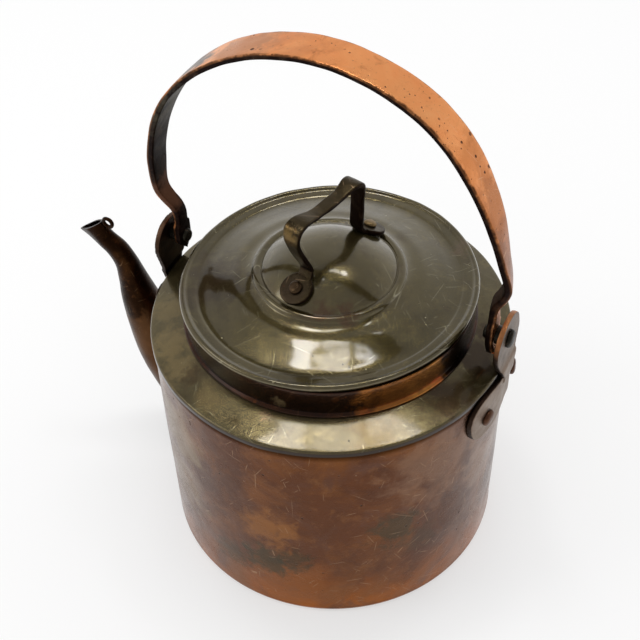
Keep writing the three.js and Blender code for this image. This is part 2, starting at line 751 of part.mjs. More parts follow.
function rimWireGeometry() {
  return outOfRound(turned(arc(rimRadius, rimHeight, RIM_WIRE, 0, 300, 4)));
}

function flangeGeometry() {
  const outer = neckInner - NECK_CLEARANCE;
  const inner = outer - LID_SHEET;
  const top = bandHeight - 0.2 - LID_SHEET - GAP;
  const low = neckTop - FLANGE_DEPTH;
  const profile = [
    [inner - 0.5, low],
    [outer - 0.5, low],
    [outer, low + 2],
    [outer, top],
    [inner, top],
    [inner, low + 2],
  ];
  return outOfRound(turned(profile));
}

// Height of the lid's upper face at a distance from its axis
function lidHeightAt(r) {
  const top = lidTop();
  const i = Math.max(1, top.findIndex(([at]) => at >= r));
  const [[r0, z0], [r1, z1]] = [top[i - 1], top[i]];
  return z0 + ((z1 - z0) * (r - r0)) / (r1 - r0);
}

const footSlope = THREE.MathUtils.degToRad(HANDLE_SLOPE);

// Height of a foot's underside at its rivet, where the foot lies on the dome or on the ring bead
function footSeat(rivet) {
  const steps = 30;
  const rises = Array.from({ length: steps + 1 }, (_, i) => {
    const from = HANDLE_LOBE * Math.cos(footSlope) * ((2 * i) / steps - 1);
    return lidHeightAt(rivet + from) + from * Math.tan(footSlope);
  });
  return Math.max(...rises) + GAP / Math.cos(footSlope);
}

// One half of the handle, from the end of its foot to the bend: each point with its width.
function handleHalf(rivet, leg, reach) {
  const seat = footSeat(rivet);
  const half = HANDLE_THICKNESS / 2;
  const gripHeight = domeTop + HANDLE_HEIGHT;
  const foot = [10, 30, 50, 70, 90, 110, 130, 150].map((degrees) => {
    const a = THREE.MathUtils.degToRad(degrees);
    const from = HANDLE_LOBE * Math.cos(a);
    return [
      rivet + from * Math.cos(footSlope) + half * Math.sin(footSlope),
      seat - from * Math.sin(footSlope) + half * Math.cos(footSlope),
      2 * HANDLE_LOBE * Math.sin(a),
    ];
  });
  const low = seat + (rivet - leg) * Math.tan(footSlope) + half;
  const lean = (share) => leg + (reach - leg) * share;
  return [
    ...foot,
    [leg + 1, low + 1.2, HANDLE_WIDTH],
    [leg, low + 4, HANDLE_WIDTH],
    [lean(0.42), low + (gripHeight - low) * 0.36, HANDLE_WIDTH],
    [lean(0.82), low + (gripHeight - low) * 0.6, HANDLE_WIDTH],
    [reach, gripHeight - HANDLE_CORNER, HANDLE_BEND * 0.9],
    [reach - HANDLE_CORNER * 0.25, gripHeight - HANDLE_CORNER * 0.25, HANDLE_BEND],
    [reach - HANDLE_CORNER, gripHeight, HANDLE_BEND * 0.94],
    [reach * 0.4, gripHeight - HANDLE_DIP * 0.8, HANDLE_MIDDLE],
  ];
}

// How far the near leg is bent sideways at a height: all of it at the foot, none at the bend
function slipAt(height) {
  return NEAR_SLIP * (THREE.MathUtils.smoothstep(height, domeTop - 4, domeTop + HANDLE_HEIGHT * 0.8) - 1);
}

function handleGeometry() {
  const far = handleHalf(RIVET_FAR, LEG_FAR, REACH_FAR);
  const near = handleHalf(RIVET_NEAR, LEG_NEAR, REACH_NEAR).map(([x, z, width]) => [-x, z, width]);
  const middle = [0, domeTop + HANDLE_HEIGHT - HANDLE_DIP, HANDLE_MIDDLE];
  const path = [...far, middle, ...near.reverse()];
  const slip = (x, z) => (x < 0 ? slipAt(z) : 0);
  const middles = path.map(([x, z]) => new THREE.Vector3(x, slip(x, z), z));
  const line = new THREE.CatmullRomCurve3(middles, false, "centripetal");
  const widths = new THREE.CatmullRomCurve3(path.map(([, , w], i) => new THREE.Vector3(w, i, 0)), false);
  const count = path.length - 1;
  const places = [];
  for (let i = 0; i <= count; i++) {
    const onFoot = i < 7 || i >= count - 7;
    places.push(i / count);
    if (!onFoot) places.push((i + 1 / 3) / count, (i + 2 / 3) / count);
  }
  const points = places.map((t) => line.getPoint(t));
  const rings = strapRings(
    points,
    () => new THREE.Vector3(0, -1, 0),
    (_, i) => widths.getPoint(places[i]).x,
    () => HANDLE_THICKNESS,
  );
  let handle = solid(lofted(rings));
  for (const hole of handleRivetHoles()) handle = handle.subtract(hole);
  return geometryOf(handle);
}

function handleRivetHoles() {
  const reach = HANDLE_THICKNESS * 4;
  const bore = HANDLE_RIVET + GAP;
  const hole = solid(turned([[0, -reach], [bore, -reach], [bore, reach], [0, reach]], 16));
  return [RIVET_NEAR, RIVET_FAR].map((rivet, i) => {
    const side = i === 0 ? -1 : 1;
    const place = [side * rivet, i === 0 ? -NEAR_SLIP : 0, footSeat(rivet)];
    return hole.rotate([0, side * HANDLE_SLOPE, 0]).translate(place);
  });
}

// A small rivet through a foot of the handle and the lid, from the foot's underside
function handleRivetGeometry(rivet) {
  const head = HANDLE_THICKNESS + 2 * GAP;
  const wide = HANDLE_RIVET + 1.6;
  const steepest = (DOME_HEIGHT * DOME_FULLNESS) / domeFoot;
  const uneven = wide * Math.tan(Math.atan(steepest) - footSlope);
  const under = lidHeightAt(rivet) - LID_SHEET / Math.cos(footSlope) - footSeat(rivet) - uneven - GAP;
  return turned(
    [
      [0, under - 1.1],
      [wide - 0.4, under - 1.1],
      [wide, under],
      [HANDLE_RIVET, under],
      [HANDLE_RIVET, head],
      [HANDLE_RIVET_HEAD, head],
      [HANDLE_RIVET_HEAD * 0.9, head + HANDLE_RIVET_HEIGHT * 0.55],
      [HANDLE_RIVET_HEAD * 0.5, head + HANDLE_RIVET_HEIGHT * 0.95],
      [0, head + HANDLE_RIVET_HEIGHT],
    ],
    12,
  );
}

// Assembly: the kettle
piece(kettle, "base", baseGeometry(), copper);
piece(kettle, "wall", wallWithHoles(), copper);
piece(kettle, "shoulder", shoulderGeometry(), patina);
piece(kettle, "neck_collar", neckGeometry(), darkCopper);
piece(kettle, "spout", spoutGeometry(), darkCopper);
piece(kettle, "spout_eye", eyeGeometry(), darkCopper);
for (const ear of EARS) {
  const side = new THREE.Group();
  side.rotation.z = ear.turn;
  kettle.add(side);
  piece(side, `ear_${ear.where}`, earGeometry(ear), darkCopper);
  piece(side, `bail_pin_${ear.where}`, pinGeometry(ear).translate(0, 0, pivotHeight), darkCopper);
  piece(side, `bail_spacer_${ear.where}`, spacerGeometry(ear).translate(0, 0, pivotHeight), tinned);
  for (const [hand, way] of [["left", 1], ["right", -1]]) {
    const rivet = piece(side, `ear_rivet_${ear.where}_${hand}`, earRivetGeometry(), darkCopper);
    rivet.position.z = rivetHeight;
    rivet.rotation.z = rivetTurn(way, ear.lean);
  }
}

// Assembly: the bail
piece(bail, "bail", bailGeometry(), brightCopper);

// Assembly: the lid, with its handle turned as it lies on the kettle
lid.rotation.z = THREE.MathUtils.degToRad(HANDLE_TURN);
let disc = lidGeometry();
for (const hole of handleRivetHoles()) disc = disc.subtract(hole);
piece(lid, "lid_disc", geometryOf(disc), patina);
piece(lid, "lid_rim_wire", rimWireGeometry(), tinned);
piece(lid, "lid_flange", flangeGeometry(), tinned);
piece(lid, "lid_handle", handleGeometry(), patina);
for (const [name, side, from, slip] of [["near", -1, RIVET_NEAR, NEAR_SLIP], ["far", 1, RIVET_FAR, 0]]) {
  const rivet = piece(lid, `lid_rivet_${name}`, handleRivetGeometry(from), darkCopper);
  rivet.position.set(side * from, -slip, footSeat(from));
  rivet.rotation.y = side * footSlope;
}

export default kettleAndParts;
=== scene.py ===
"""Looks of an old copper tea kettle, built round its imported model.

Lengths are in millimetres until a mesh is made.
"""

import math

import bpy
import numpy as np
from mathutils import Matrix, Vector


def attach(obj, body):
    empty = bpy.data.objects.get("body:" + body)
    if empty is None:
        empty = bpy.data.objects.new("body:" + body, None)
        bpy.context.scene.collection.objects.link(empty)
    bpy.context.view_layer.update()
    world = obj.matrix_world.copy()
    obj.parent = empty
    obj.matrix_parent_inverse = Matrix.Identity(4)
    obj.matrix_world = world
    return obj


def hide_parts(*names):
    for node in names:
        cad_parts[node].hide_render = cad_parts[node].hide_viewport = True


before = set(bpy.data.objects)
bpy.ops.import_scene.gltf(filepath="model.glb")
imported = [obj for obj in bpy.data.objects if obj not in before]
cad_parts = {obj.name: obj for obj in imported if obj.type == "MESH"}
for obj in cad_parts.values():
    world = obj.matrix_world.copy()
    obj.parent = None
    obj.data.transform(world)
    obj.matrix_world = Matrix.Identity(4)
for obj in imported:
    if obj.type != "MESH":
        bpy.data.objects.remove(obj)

MM = 0.001
scene = bpy.context.scene


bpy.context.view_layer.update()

# Sizes of the object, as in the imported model
GAP = 0.3
SHEET = 1.5
BODY_RADIUS = 104.6
BODY_HEIGHT = 158.0
BASE_CORNER = 4.0
BASE_RIM = 4.62
LIP_HEIGHT = 3.6
SHOULDER_OUTER = 105.4
NECK_RADIUS = 84.2
NECK_TOP = 181.4
NECK_BEAD = 1.1
SHOULDER_TILT = 4.8 / (SHOULDER_OUTER - NECK_RADIUS)
SPOUT_SHEET = 1.4
SPOUT_ROOT = 16.0
PIVOT = 183.0
EAR_SHIFT = 1.2
EAR_THICKNESS = 3.0
EAR_CRANK = 1.2
EAR_WAIST = 7.6
EAR_WAIST_DROP = 7.0
EAR_DISC_DROP = 4.6
EAR_FOOT = 34.0
EAR_FOOT_DEPTH = 37.0
LEAN_REAR = 6.4
LEAN_FRONT = 1.0
END_FRONT = 100.0
END_REAR = 100.4
TIP_FRONT = 9.5
TIP_REAR = 16.0
STRAP_LEGS = 4.3
STRAP_END = 12.4
ARCH_TOP = 152.0
RIM_HEIGHT = 183.7
RIM_RADIUS = 84.7
LID_OVAL = 3.4
LID_OVAL_TURN = math.radians(150)
HANDLE_TURN = math.radians(76)
HANDLE_FOOT = 9.4
HANDLE_SLIP = 3.1
HANDLE_THICKNESS = 2.6
RIVET_NEAR = 30.8
RIVET_FAR = 35.2


# ---- shapes


def wobble(points, size, amount, seed):
    """A smooth irregular height for each point, waves about as long as size."""
    rng = np.random.default_rng(seed)
    total = np.zeros(len(points))
    for _ in range(14):
        way = rng.normal(size=3)
        way *= 2 * math.pi / (size * rng.uniform(0.7, 1.6) * np.linalg.norm(way))
        total += np.sin(points @ way + rng.uniform(0, 2 * math.pi))
    return amount * total / math.sqrt(14)


def arc(r, z, radius, start, end, steps):
    angles = np.radians(np.linspace(start, end, steps + 1))
    return [(r + radius * math.cos(a), z + radius * math.sin(a)) for a in angles]


def rounded(points, radius, steps):
    """A closed outline with its corners rounded."""
    pts = [np.array(p, float) for p in points]
    result = []
    for i, p in enumerate(pts):
        before = pts[i - 1] - p
        after = pts[(i + 1) % len(pts)] - p
        lengths = np.linalg.norm(before), np.linalg.norm(after)
        reach = min(radius, 0.45 * min(lengths))
        a = p + before / lengths[0] * reach
        b = p + after / lengths[1] * reach
        for t in np.linspace(0, 1, steps + 1):
            result.append(tuple((1 - t) ** 2 * a + 2 * t * (1 - t) * p + t**2 * b))
    return result


def refined(points, step, closed=True):
    """The same outline with points no further apart than step."""
    result = []
    for a, b in zip(points, points[1:] + points[:1] if closed else points[1:]):
        parts = max(1, math.ceil(math.dist(a, b) / step))
        result += [tuple(np.array(a) + np.subtract(b, a) * k / parts) for k in range(parts)]
    return result if closed else result + [points[-1]]


def turned(profile, around):
    """Points and faces of an outline turned round Z.

    The outline closes on itself unless it starts and ends on the axis.
    """
    open_ends = profile[0][0] < 1e-6 and profile[-1][0] < 1e-6
    angles = np.linspace(0, 2 * math.pi, around, endpoint=False)
    points, starts = [], []
    for r, z in profile:
        starts.append(len(points))
        if r < 1e-6:
            points.append((0, 0, z))
        else:
            points += [(r * math.cos(a), r * math.sin(a), z) for a in angles]
    faces = []
    rings = len(profile)
    for i in range(rings - 1 if open_ends else rings):
        k = (i + 1) % rings
        low, high = starts[i], starts[k]
        for j in range(around):
            n = (j + 1) % around
            if profile[i][0] < 1e-6:
                faces.append((low, high + n, high + j))
            elif profile[k][0] < 1e-6:
                faces.append((low + j, low + n, high))
            else:
                faces.append((low + j, low + n, high + n, high + j))
    return np.array(points, float), faces


def lofted(rings):
    """Points and faces of a closed skin over rings of points, with flat ends."""
    count = len(rings[0])
    points = np.concatenate([np.array(r, float) for r in rings])
    last = len(points) - count
    faces = []
    for i in range(0, last, count):
        for j in range(count):
            n = (j + 1) % count
            faces.append((i + j, i + n, i + count + n, i + count + j))
    return points, faces + [tuple(range(count - 1, -1, -1)), tuple(range(last, last + count))]


def smooth_curve(points, per):
    """A centripetal curve through points, per steps to each span."""
    pts = [np.array(p, float) for p in points]
    pts = [2 * pts[0] - pts[1]] + pts + [2 * pts[-1] - pts[-2]]
    result = []
    for i in range(1, len(pts) - 2):
        p0, p1, p2, p3 = pts[i - 1 : i + 3]
        d0, d1, d2 = (max(1e-4, np.linalg.norm(b - a)) ** 0.5 for a, b in ((p0, p1), (p1, p2), (p2, p3)))
        m1 = ((p1 - p0) / d0 - (p2 - p0) / (d0 + d1) + (p2 - p1) / d1) * d1
        m2 = ((p2 - p1) / d1 - (p3 - p1) / (d1 + d2) + (p3 - p2) / d2) * d1
        for k in range(per):
            t = k / per
            h = 2 * t**3 - 3 * t**2 + 1, t**3 - 2 * t**2 + t, 3 * t**2 - 2 * t**3, t**3 - t**2
            result.append(h[0] * p1 + h[1] * m1 + h[2] * p2 + h[3] * m2)
    result.append(pts[-2])
    return np.array(result)


def spaced(points, step):
    """Points at even distances along a line of points."""
    lengths = np.concatenate([[0], np.cumsum(np.linalg.norm(np.diff(points, axis=0), axis=1))])
    at = np.linspace(0, lengths[-1], round(lengths[-1] / step) + 1)
    return np.stack([np.interp(at, lengths, column) for column in points.T], 1)


def even_curve(xs, ys, at):
    """A curve y(x) through rising xs without overshoot."""
    h = np.diff(xs)
    slope = np.diff(ys) / h
    m = np.zeros(len(xs))
    for i in range(1, len(xs) - 1):
        if slope[i - 1] * slope[i] > 0:
            w1, w2 = 2 * h[i] + h[i - 1], h[i] + 2 * h[i - 1]
            m[i] = (w1 + w2) / (w1 / slope[i - 1] + w2 / slope[i])
    m[-1] = slope[-1]
    i = np.clip(np.searchsorted(xs, at) - 1, 0, len(h) - 1)
    t = (at - xs[i]) / h[i]
    return (
        (2 * t**3 - 3 * t**2 + 1) * ys[i]
        + (t**3 - 2 * t**2 + t) * h[i] * m[i]
        + (3 * t**2 - 2 * t**3) * ys[i + 1]
        + (t**3 - t**2) * h[i] * m[i + 1]
    )


def smoothstep(x, low, high):
    t = np.clip((x - low) / (high - low), 0, 1)
    return t * t * (3 - 2 * t)


def turn_z(points, angle):
    c, s = math.cos(angle), math.sin(angle)
    x, y, z = np.array(points, float).T
    return np.stack([x * c - y * s, x * s + y * c, z], 1)


def linked(name, data):
    obj = bpy.data.objects.new(name, data)
    scene.collection.objects.link(obj)
    return obj


def new_object(name, points, faces):
    mesh = bpy.data.meshes.new(name)
    mesh.from_pydata([tuple(p) for p in np.asarray(points) * MM], [], faces)
    return linked(name, mesh)


def applied(obj):
    """Puts the modifiers' result into the mesh."""
    graph = bpy.context.evaluated_depsgraph_get()
    mesh = bpy.data.meshes.new_from_object(obj.evaluated_get(graph))
    old = obj.data
    obj.modifiers.clear()
    obj.data = mesh
    bpy.data.meshes.remove(old)


def cut(obj, points, faces):
    tool = new_object("tool", points, faces)
    change = obj.modifiers.new("cut", "BOOLEAN")
    change.operation = "DIFFERENCE"
    change.solver = "EXACT"
    change.object = tool
    applied(obj)
    bpy.data.objects.remove(tool)


def dented(obj, *waves):
    """Moves each vertex along its normal by small irregular waves of (size, amount, seed)."""
    mesh = obj.data
    co = np.array([v.co for v in mesh.vertices], float)
    normals = np.array([v.normal for v in mesh.vertices])
    for size, amount, seed in waves:
        co += normals * wobble(co / MM, size, amount, seed)[:, None] * MM
    mesh.vertices.foreach_set("co", co.ravel())
    mesh.update()


def finish_piece(obj, body, node, look, angle=38):
    mesh = obj.data
    mesh.polygons.foreach_set("use_smooth", [True] * len(mesh.polygons))
    mesh.set_sharp_from_angle(angle=math.radians(angle))
    mesh.materials.clear()
    mesh.materials.append(look)
    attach(obj, body)
    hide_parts(node)


# ---- materials


class Nodes:
    """Adds nodes to a tree. An input is a plain value or another node's output."""

    def __init__(self, tree):
        self.tree = tree

    def add(self, kind, inputs=(), **settings):
        node = self.tree.nodes.new(kind)
        for key, value in settings.items():
            setattr(node, key, value)
        for key, value in dict(inputs).items():
            self.put(node.inputs[key], value)
        return node

    def put(self, socket, value):
        if isinstance(value, bpy.types.NodeSocket):
            self.tree.links.new(value, socket)
        elif socket.type == "RGBA":
            socket.default_value = (*value, 1)
        else:
            socket.default_value = value

    def math(self, operation, a, b=0.0, clamp=False):
        return self.add("ShaderNodeMath", {0: a, 1: b}, operation=operation, use_clamp=clamp).outputs[0]

    def times(self, a, b):
        return self.math("MULTIPLY", a, b)

    def vector(self, operation, *inputs):
        outputs = self.add("ShaderNodeVectorMath", enumerate(inputs), operation=operation).outputs
        return outputs["Value" if operation in ("DOT_PRODUCT", "LENGTH", "DISTANCE") else "Vector"]

    def band(self, value, low, high, a=0.0, b=1.0, **settings):
        """From a at low to b at high, and no further."""
        inputs = {"Value": value, "From Min": low, "From Max": high, "To Min": a, "To Max": b}
        return self.add("ShaderNodeMapRange", inputs, clamp=True, **settings).outputs[0]


class Look(Nodes):
    """A procedural material, its patterns fixed in the piece's own space."""

    def __init__(self, name):
        self.material = bpy.data.materials.new(name)
        self.material.use_nodes = True
        super().__init__(self.material.node_tree)
        self.shader = self.tree.nodes["Principled BSDF"]
        self.place = self.add("ShaderNodeTexCoord").outputs["Object"]
        self.normal = None

    def shifted(self, x, y, z):
        return self.add("ShaderNodeMapping", {"Vector": self.place, "Location": (x, y, z)}).outputs[0]

    def noise(self, size, detail=4, rough=0.55, bend=0.0, seed=0):
        where = self.shifted(seed * 0.37, seed * 0.21, seed * 0.53)
        inputs = {"Scale": 1000 / size, "Detail": detail, "Roughness": rough, "Distortion": bend}
        return self.add("ShaderNodeTexNoise", {"Vector": where, **inputs}).outputs[0]

    def uneven(self, amount, *noise, seed):
        """An irregular offset of up to half the amount either way."""
        return self.times(self.math("SUBTRACT", self.noise(*noise, seed=seed), 0.5), amount)

    def mix(self, share, a, b):
        return self.add("ShaderNodeMix", {0: share, 6: a, 7: b}, data_type="RGBA").outputs[2]

    def cover(self, colour, tone, share, strength):
        """A tone laid over the colour where share is 1, as densely as strength says."""
        return self.mix(self.times(share, strength), colour, tone)

    def cells(self, size, where):
        return self.add("ShaderNodeTexVoronoi", {"Vector": where, "Scale": 1000 / size}, feature="F1").outputs

    def scratches(self, size, seed):
        """Short straight scratches, at most one to a cell of the given size, here and there."""
        where = self.shifted(seed * 0.7, seed * 0.3, seed * 0.9)
        cells = self.cells(size, where)
        away = self.vector("SUBTRACT", where, cells["Position"])
        tilt = self.vector("NORMALIZE", self.vector("SUBTRACT", cells["Color"], (0.5, 0.5, 0.5)))
        off = self.math("ABSOLUTE", self.vector("DOT_PRODUCT", away, tilt))
        line = self.band(off, SCRATCH_WIDTH * MM, SCRATCH_WIDTH * 0.3 * MM)
        line = self.times(line, self.band(self.vector("LENGTH", away), size * 0.5 * MM, size * 0.3 * MM))
        return self.times(line, self.band(self.noise(size * 3, 2, seed=seed + 3), 0.5, 0.58))

    def specks(self, size, share, seed):
        """Small round specks: one to a cell of the given size, with a radius up to share of it."""
        cells = self.cells(size, self.shifted(seed, seed * 0.5, seed * 0.3))
        reach = self.times(self.add("ShaderNodeSeparateColor", {0: cells["Color"]}).outputs[0], share)
        return self.band(self.math("SUBTRACT", cells["Distance"], reach), 0.0, -0.06)

    def stains_and_painted_light(self, colour, spots, seed=0):
        """Spots with ragged edges, each around a point: stains, and on some pieces painted shade and painted
        reflections.
        """
        for i, (centre, radius, tone, strength) in enumerate(spots):
            far = self.vector("DISTANCE", self.place, tuple(v * MM for v in centre))
            edge = self.uneven(2.4, radius * 0.5, 5, 0.6, 0.5, seed=seed + i)
            share = self.band(self.math("ADD", self.times(far, 1000 / radius), edge), 1.05, 0.45)
            colour = self.cover(colour, tone, share, strength)
        return colour

    def height(self):
        return self.add("ShaderNodeSeparateXYZ", {0: self.place}).outputs[2]

    def facing(self):
        """1 where the surface faces away from the kettle's axis, -1 where it faces the axis."""
        out = self.vector("NORMALIZE", self.vector("MULTIPLY", self.place, (1, 1, 0)))
        return self.vector("DOT_PRODUCT", self.add("ShaderNodeTexCoord").outputs["Normal"], out)

    def polish(self, weight, rough):
        self.shader.inputs["Coat Weight"].default_value = weight
        self.shader.inputs["Coat Roughness"].default_value = rough

    def bump(self, value, depth):
        inputs = {"Height": value, "Distance": depth * MM}
        if self.normal:
            inputs["Normal"] = self.normal
        self.normal = self.add("ShaderNodeBump", inputs).outputs[0]

    def done(self, colour, metal, rough):
        inputs = {"Base Color": colour, "Metallic": metal, "Roughness": rough, "Normal": self.normal}
        for key, value in inputs.items():
            self.put(self.shader.inputs[key], value)
        return self.material


SCRATCH_WIDTH = 0.16
SCRATCH_CELLS = (7, 12, 21)


def aged(name, base, layers, rough, scratches, specks, spots=(), levels=(), dents=0.36, grain=0.12):
    """Old metal: a base colour, cloudy layers over it, then spots (stains, and on some pieces painted
    reflections), specks and scratches.

    Each of them ends with its colour and strength. Before these, a level has its two heights, a layer its
    size and band of noise, a speck its cell and share, and a spot its centre and radius.
    """
    look = Look(name)
    colour = base
    for low, high, tone, strength in levels:
        wavy = look.math("ADD", look.height(), look.uneven(0.05, 38, 4, 0.6, 0.4, seed=5))
        colour = look.cover(colour, tone, look.band(wavy, low * MM, high * MM), strength)
    for i, (size, low, high, tone, strength) in enumerate(layers):
        cloud = look.noise(size, 6, 0.62, 0.7, seed=i + 1)
        colour = look.cover(colour, tone, look.band(cloud, low, high), strength)
    colour = look.stains_and_painted_light(colour, spots)
    marks = lines = 0.0
    for i, (size, share, tone, strength) in enumerate(specks):
        where = look.band(look.noise(24, 4, seed=i + 20), 0.48, 0.6)
        dots = look.times(look.specks(size, share, i + 2), where)
        colour = look.cover(colour, tone, dots, strength)
        marks = look.math("MAXIMUM", marks, dots)
    for i, size in enumerate(SCRATCH_CELLS):
        line = look.scratches(size, i + 1)
        colour = look.cover(colour, scratches[0], line, scratches[1])
        lines = look.math("MAXIMUM", lines, line)
    look.bump(look.noise(22, 2, 0.5, seed=31), dents)
    look.bump(look.noise(1.6, 5, 0.7, seed=32), grain)
    look.bump(look.times(marks, -1.0), 0.12)
    look.bump(look.times(lines, -1.0), 0.02)
    shine = look.band(look.noise(16, 6, 0.65, 0.3, seed=9), 0.3, 0.7, *rough)
    shine = look.math("ADD", shine, look.times(marks, 0.25), clamp=True)
    return look, colour, shine


def shade(tone, share):
    return tuple(min(1, v * share) for v in tone)


def wall_look():
    look, colour, shine = aged(
        "worn_copper",
        (0.105, 0.036, 0.013),
        [
            (75, 0.45, 0.62, (0.07, 0.026, 0.012), 0.75),
            (48, 0.48, 0.64, (0.185, 0.066, 0.017), 0.75),
            (26, 0.52, 0.68, (0.112, 0.052, 0.034), 0.6),
            (12, 0.56, 0.68, (0.215, 0.088, 0.03), 0.35),
            (5, 0.6, 0.72, (0.28, 0.14, 0.065), 0.25),
        ],
        rough=(0.16, 0.32),
        scratches=((0.46, 0.3, 0.18), 0.45),
        specks=[(5, 0.18, (0.028, 0.018, 0.012), 0.7), (9, 0.1, (0.4, 0.24, 0.14), 0.5)],
        spots=[
            ((90, -52, 125), 34, (0.23, 0.125, 0.074), 0.55),
            ((104, -10, 92), 28, (0.27, 0.16, 0.098), 0.5),
            ((-58, -87, 117), 30, (0.24, 0.17, 0.085), 0.5),
            ((-59, -87, 70), 26, (0.24, 0.15, 0.062), 0.45),
            ((8, -104, 78), 20, (0.3, 0.12, 0.03), 0.55),
            ((22, -102, 30), 30, (0.24, 0.08, 0.018), 0.5),
            ((6, -104, 46), 17, (0.034, 0.034, 0.016), 0.7),
            ((24, -102, 54), 13, (0.036, 0.032, 0.016), 0.6),
            ((-20, -103, 38), 13, (0.034, 0.032, 0.014), 0.5),
            ((75, -73, 79), 18, (0.036, 0.036, 0.02), 0.65),
            ((86, -60, 62), 14, (0.044, 0.034, 0.018), 0.4),
        ],
        levels=[(50, 8, (0.33, 0.09, 0.004), 0.9)],
        dents=0.3,
    )
    # Painted shade: the wall darkens upwards into the shadow under the shoulder's lip.
    lip = look.band(look.height(), 0.149, 0.1535)
    return look.done(look.cover(colour, (0.018, 0.008, 0.003), lip, 0.85), 1.0, shine)


def tin_look(name, base, spots=(), rough=(0.15, 0.24), coat=1.0, skirt=None):
    """Tarnished tin. Below the height of its skirt, if it has one, it is dark copper."""
    look, colour, shine = aged(
        name,
        base,
        [
            (60, 0.42, 0.62, shade(base, 0.66), 0.7),
            (34, 0.5, 0.66, shade(base, 1.35), 0.5),
            (16, 0.54, 0.68, (0.06, 0.036, 0.01), 0.45),
            (6, 0.56, 0.7, shade(base, 1.7), 0.4),
            (2.6, 0.58, 0.7, (0.04, 0.026, 0.008), 0.45),
        ],
        rough=rough,
        scratches=((0.46, 0.42, 0.28), 0.45),
        specks=[(8, 0.09, (0.4, 0.36, 0.24), 0.8), (4, 0.15, (0.03, 0.02, 0.01), 0.7)],
        spots=spots,
        dents=0.42,
    )
    metal = 0.8
    if skirt:
        share = look.band(look.height(), skirt * MM, (skirt - 0.8) * MM)
        colour = look.mix(share, colour, (0.02, 0.009, 0.003))
        metal = look.band(share, 0, 1, metal, 1.0)
    look.polish(coat, 0.1)
    return look.done(colour, metal, shine)


def dark_look(name, base, warm, rough=(0.3, 0.52), metal=0.8, spots=(), coat=0.0):
    look, colour, shine = aged(
        name,
        base,
        [
            (26, 0.48, 0.66, warm, 0.7),
            (11, 0.52, 0.68, shade(base, 0.5), 0.8),
            (4, 0.58, 0.72, shade(warm, 1.7), 0.5),
        ],
        rough=rough,
        scratches=((0.22, 0.13, 0.07), 0.4),
        specks=[(3.5, 0.18, (0.012, 0.008, 0.006), 0.8)],
        spots=spots,
        grain=0.18,
    )
    if coat:
        look.polish(coat, 0.15)
    return look.done(colour, metal, shine)


def ear_look(name, lit_upper_edge):
    """Outer faces pale and speckled, inner faces near black. The edges are near black as painted shade, and
    high up they take the lit upper edge colour as painted highlight.
    """
    look, colour, shine = aged(
        name,
        (0.2, 0.14, 0.098),
        [
            (20, 0.46, 0.64, (0.26, 0.2, 0.155), 0.7),
            (9, 0.52, 0.68, (0.11, 0.058, 0.036), 0.7),
            (3, 0.56, 0.7, (0.08, 0.042, 0.024), 0.5),
        ],
        rough=(0.34, 0.5),
        scratches=((0.42, 0.34, 0.26), 0.3),
        specks=[(3.2, 0.2, (0.02, 0.013, 0.01), 0.85)],
        grain=0.18,
    )
    facing = look.math("ADD", look.facing(), look.uneven(0.25, 6, 4, seed=44))
    patches = look.band(look.noise(9, 4, seed=45), 0.4, 0.62)
    high = look.times(look.band(look.height(), 0.18, 0.19), look.band(patches, 0, 1, 0.55, 1.0))
    # Painted light on the edges: the lit colour high up, painted shade below.
    edge = look.mix(high, (0.024, 0.011, 0.005), lit_upper_edge)
    inner = look.mix(patches, (0.008, 0.004, 0.003), (0.035, 0.016, 0.008))
    lobe = look.times(look.band(look.height(), 0.158, 0.17), look.band(patches, 0, 1, 0.6, 0.25))
    colour = look.mix(lobe, colour, (0.04, 0.021, 0.009))
    colour = look.mix(look.band(facing, 0.86, 0.62), colour, edge)
    colour = look.mix(look.band(facing, -0.55, -0.8), colour, inner)
    return look.done(colour, 0.85, shine)


def strap_look(name, face, face_layers, edge, inner, spots, inner_spots=()):
    """A forged strap, with separate colours for the outer face, the edges and the inner face.

    The mesh carries where each of its points lies.
    """
    look, colour, shine = aged(
        name,
        face,
        face_layers,
        rough=(0.24, 0.4),
        scratches=((0.95, 0.62, 0.38), 0.3),
        specks=[
            (5.5, 0.24, (0.06, 0.02, 0.009), 0.95),
            (3.4, 0.24, (0.09, 0.032, 0.015), 0.85),
            (2.2, 0.22, (0.1, 0.036, 0.018), 0.8),
        ],
        spots=spots,
        dents=0.3,
    )
    lay = look.add("ShaderNodeAttribute", attribute_name="lay").outputs["Vector"]
    _, across, facing = look.add("ShaderNodeSeparateXYZ", {0: lay}).outputs
    ragged = look.uneven(0.3, 5, 5, 0.6, seed=41)
    rim = look.band(look.math("ADD", look.math("ABSOLUTE", across), ragged), 0.9, 1.0)
    under = look.band(facing, 0.7, 0.2)
    patches = look.band(look.noise(9, 5, 0.65, 0.5, seed=42), 0.5, 0.72)
    back = look.stains_and_painted_light(look.cover(*inner, patches, 0.7), inner_spots, 50)
    colour = look.mix(under, look.cover(colour, edge, rim, 0.9), back)
    shine = look.math("ADD", shine, look.times(under, 0.25), clamp=True)
    return look.done(colour, 0.97, shine)


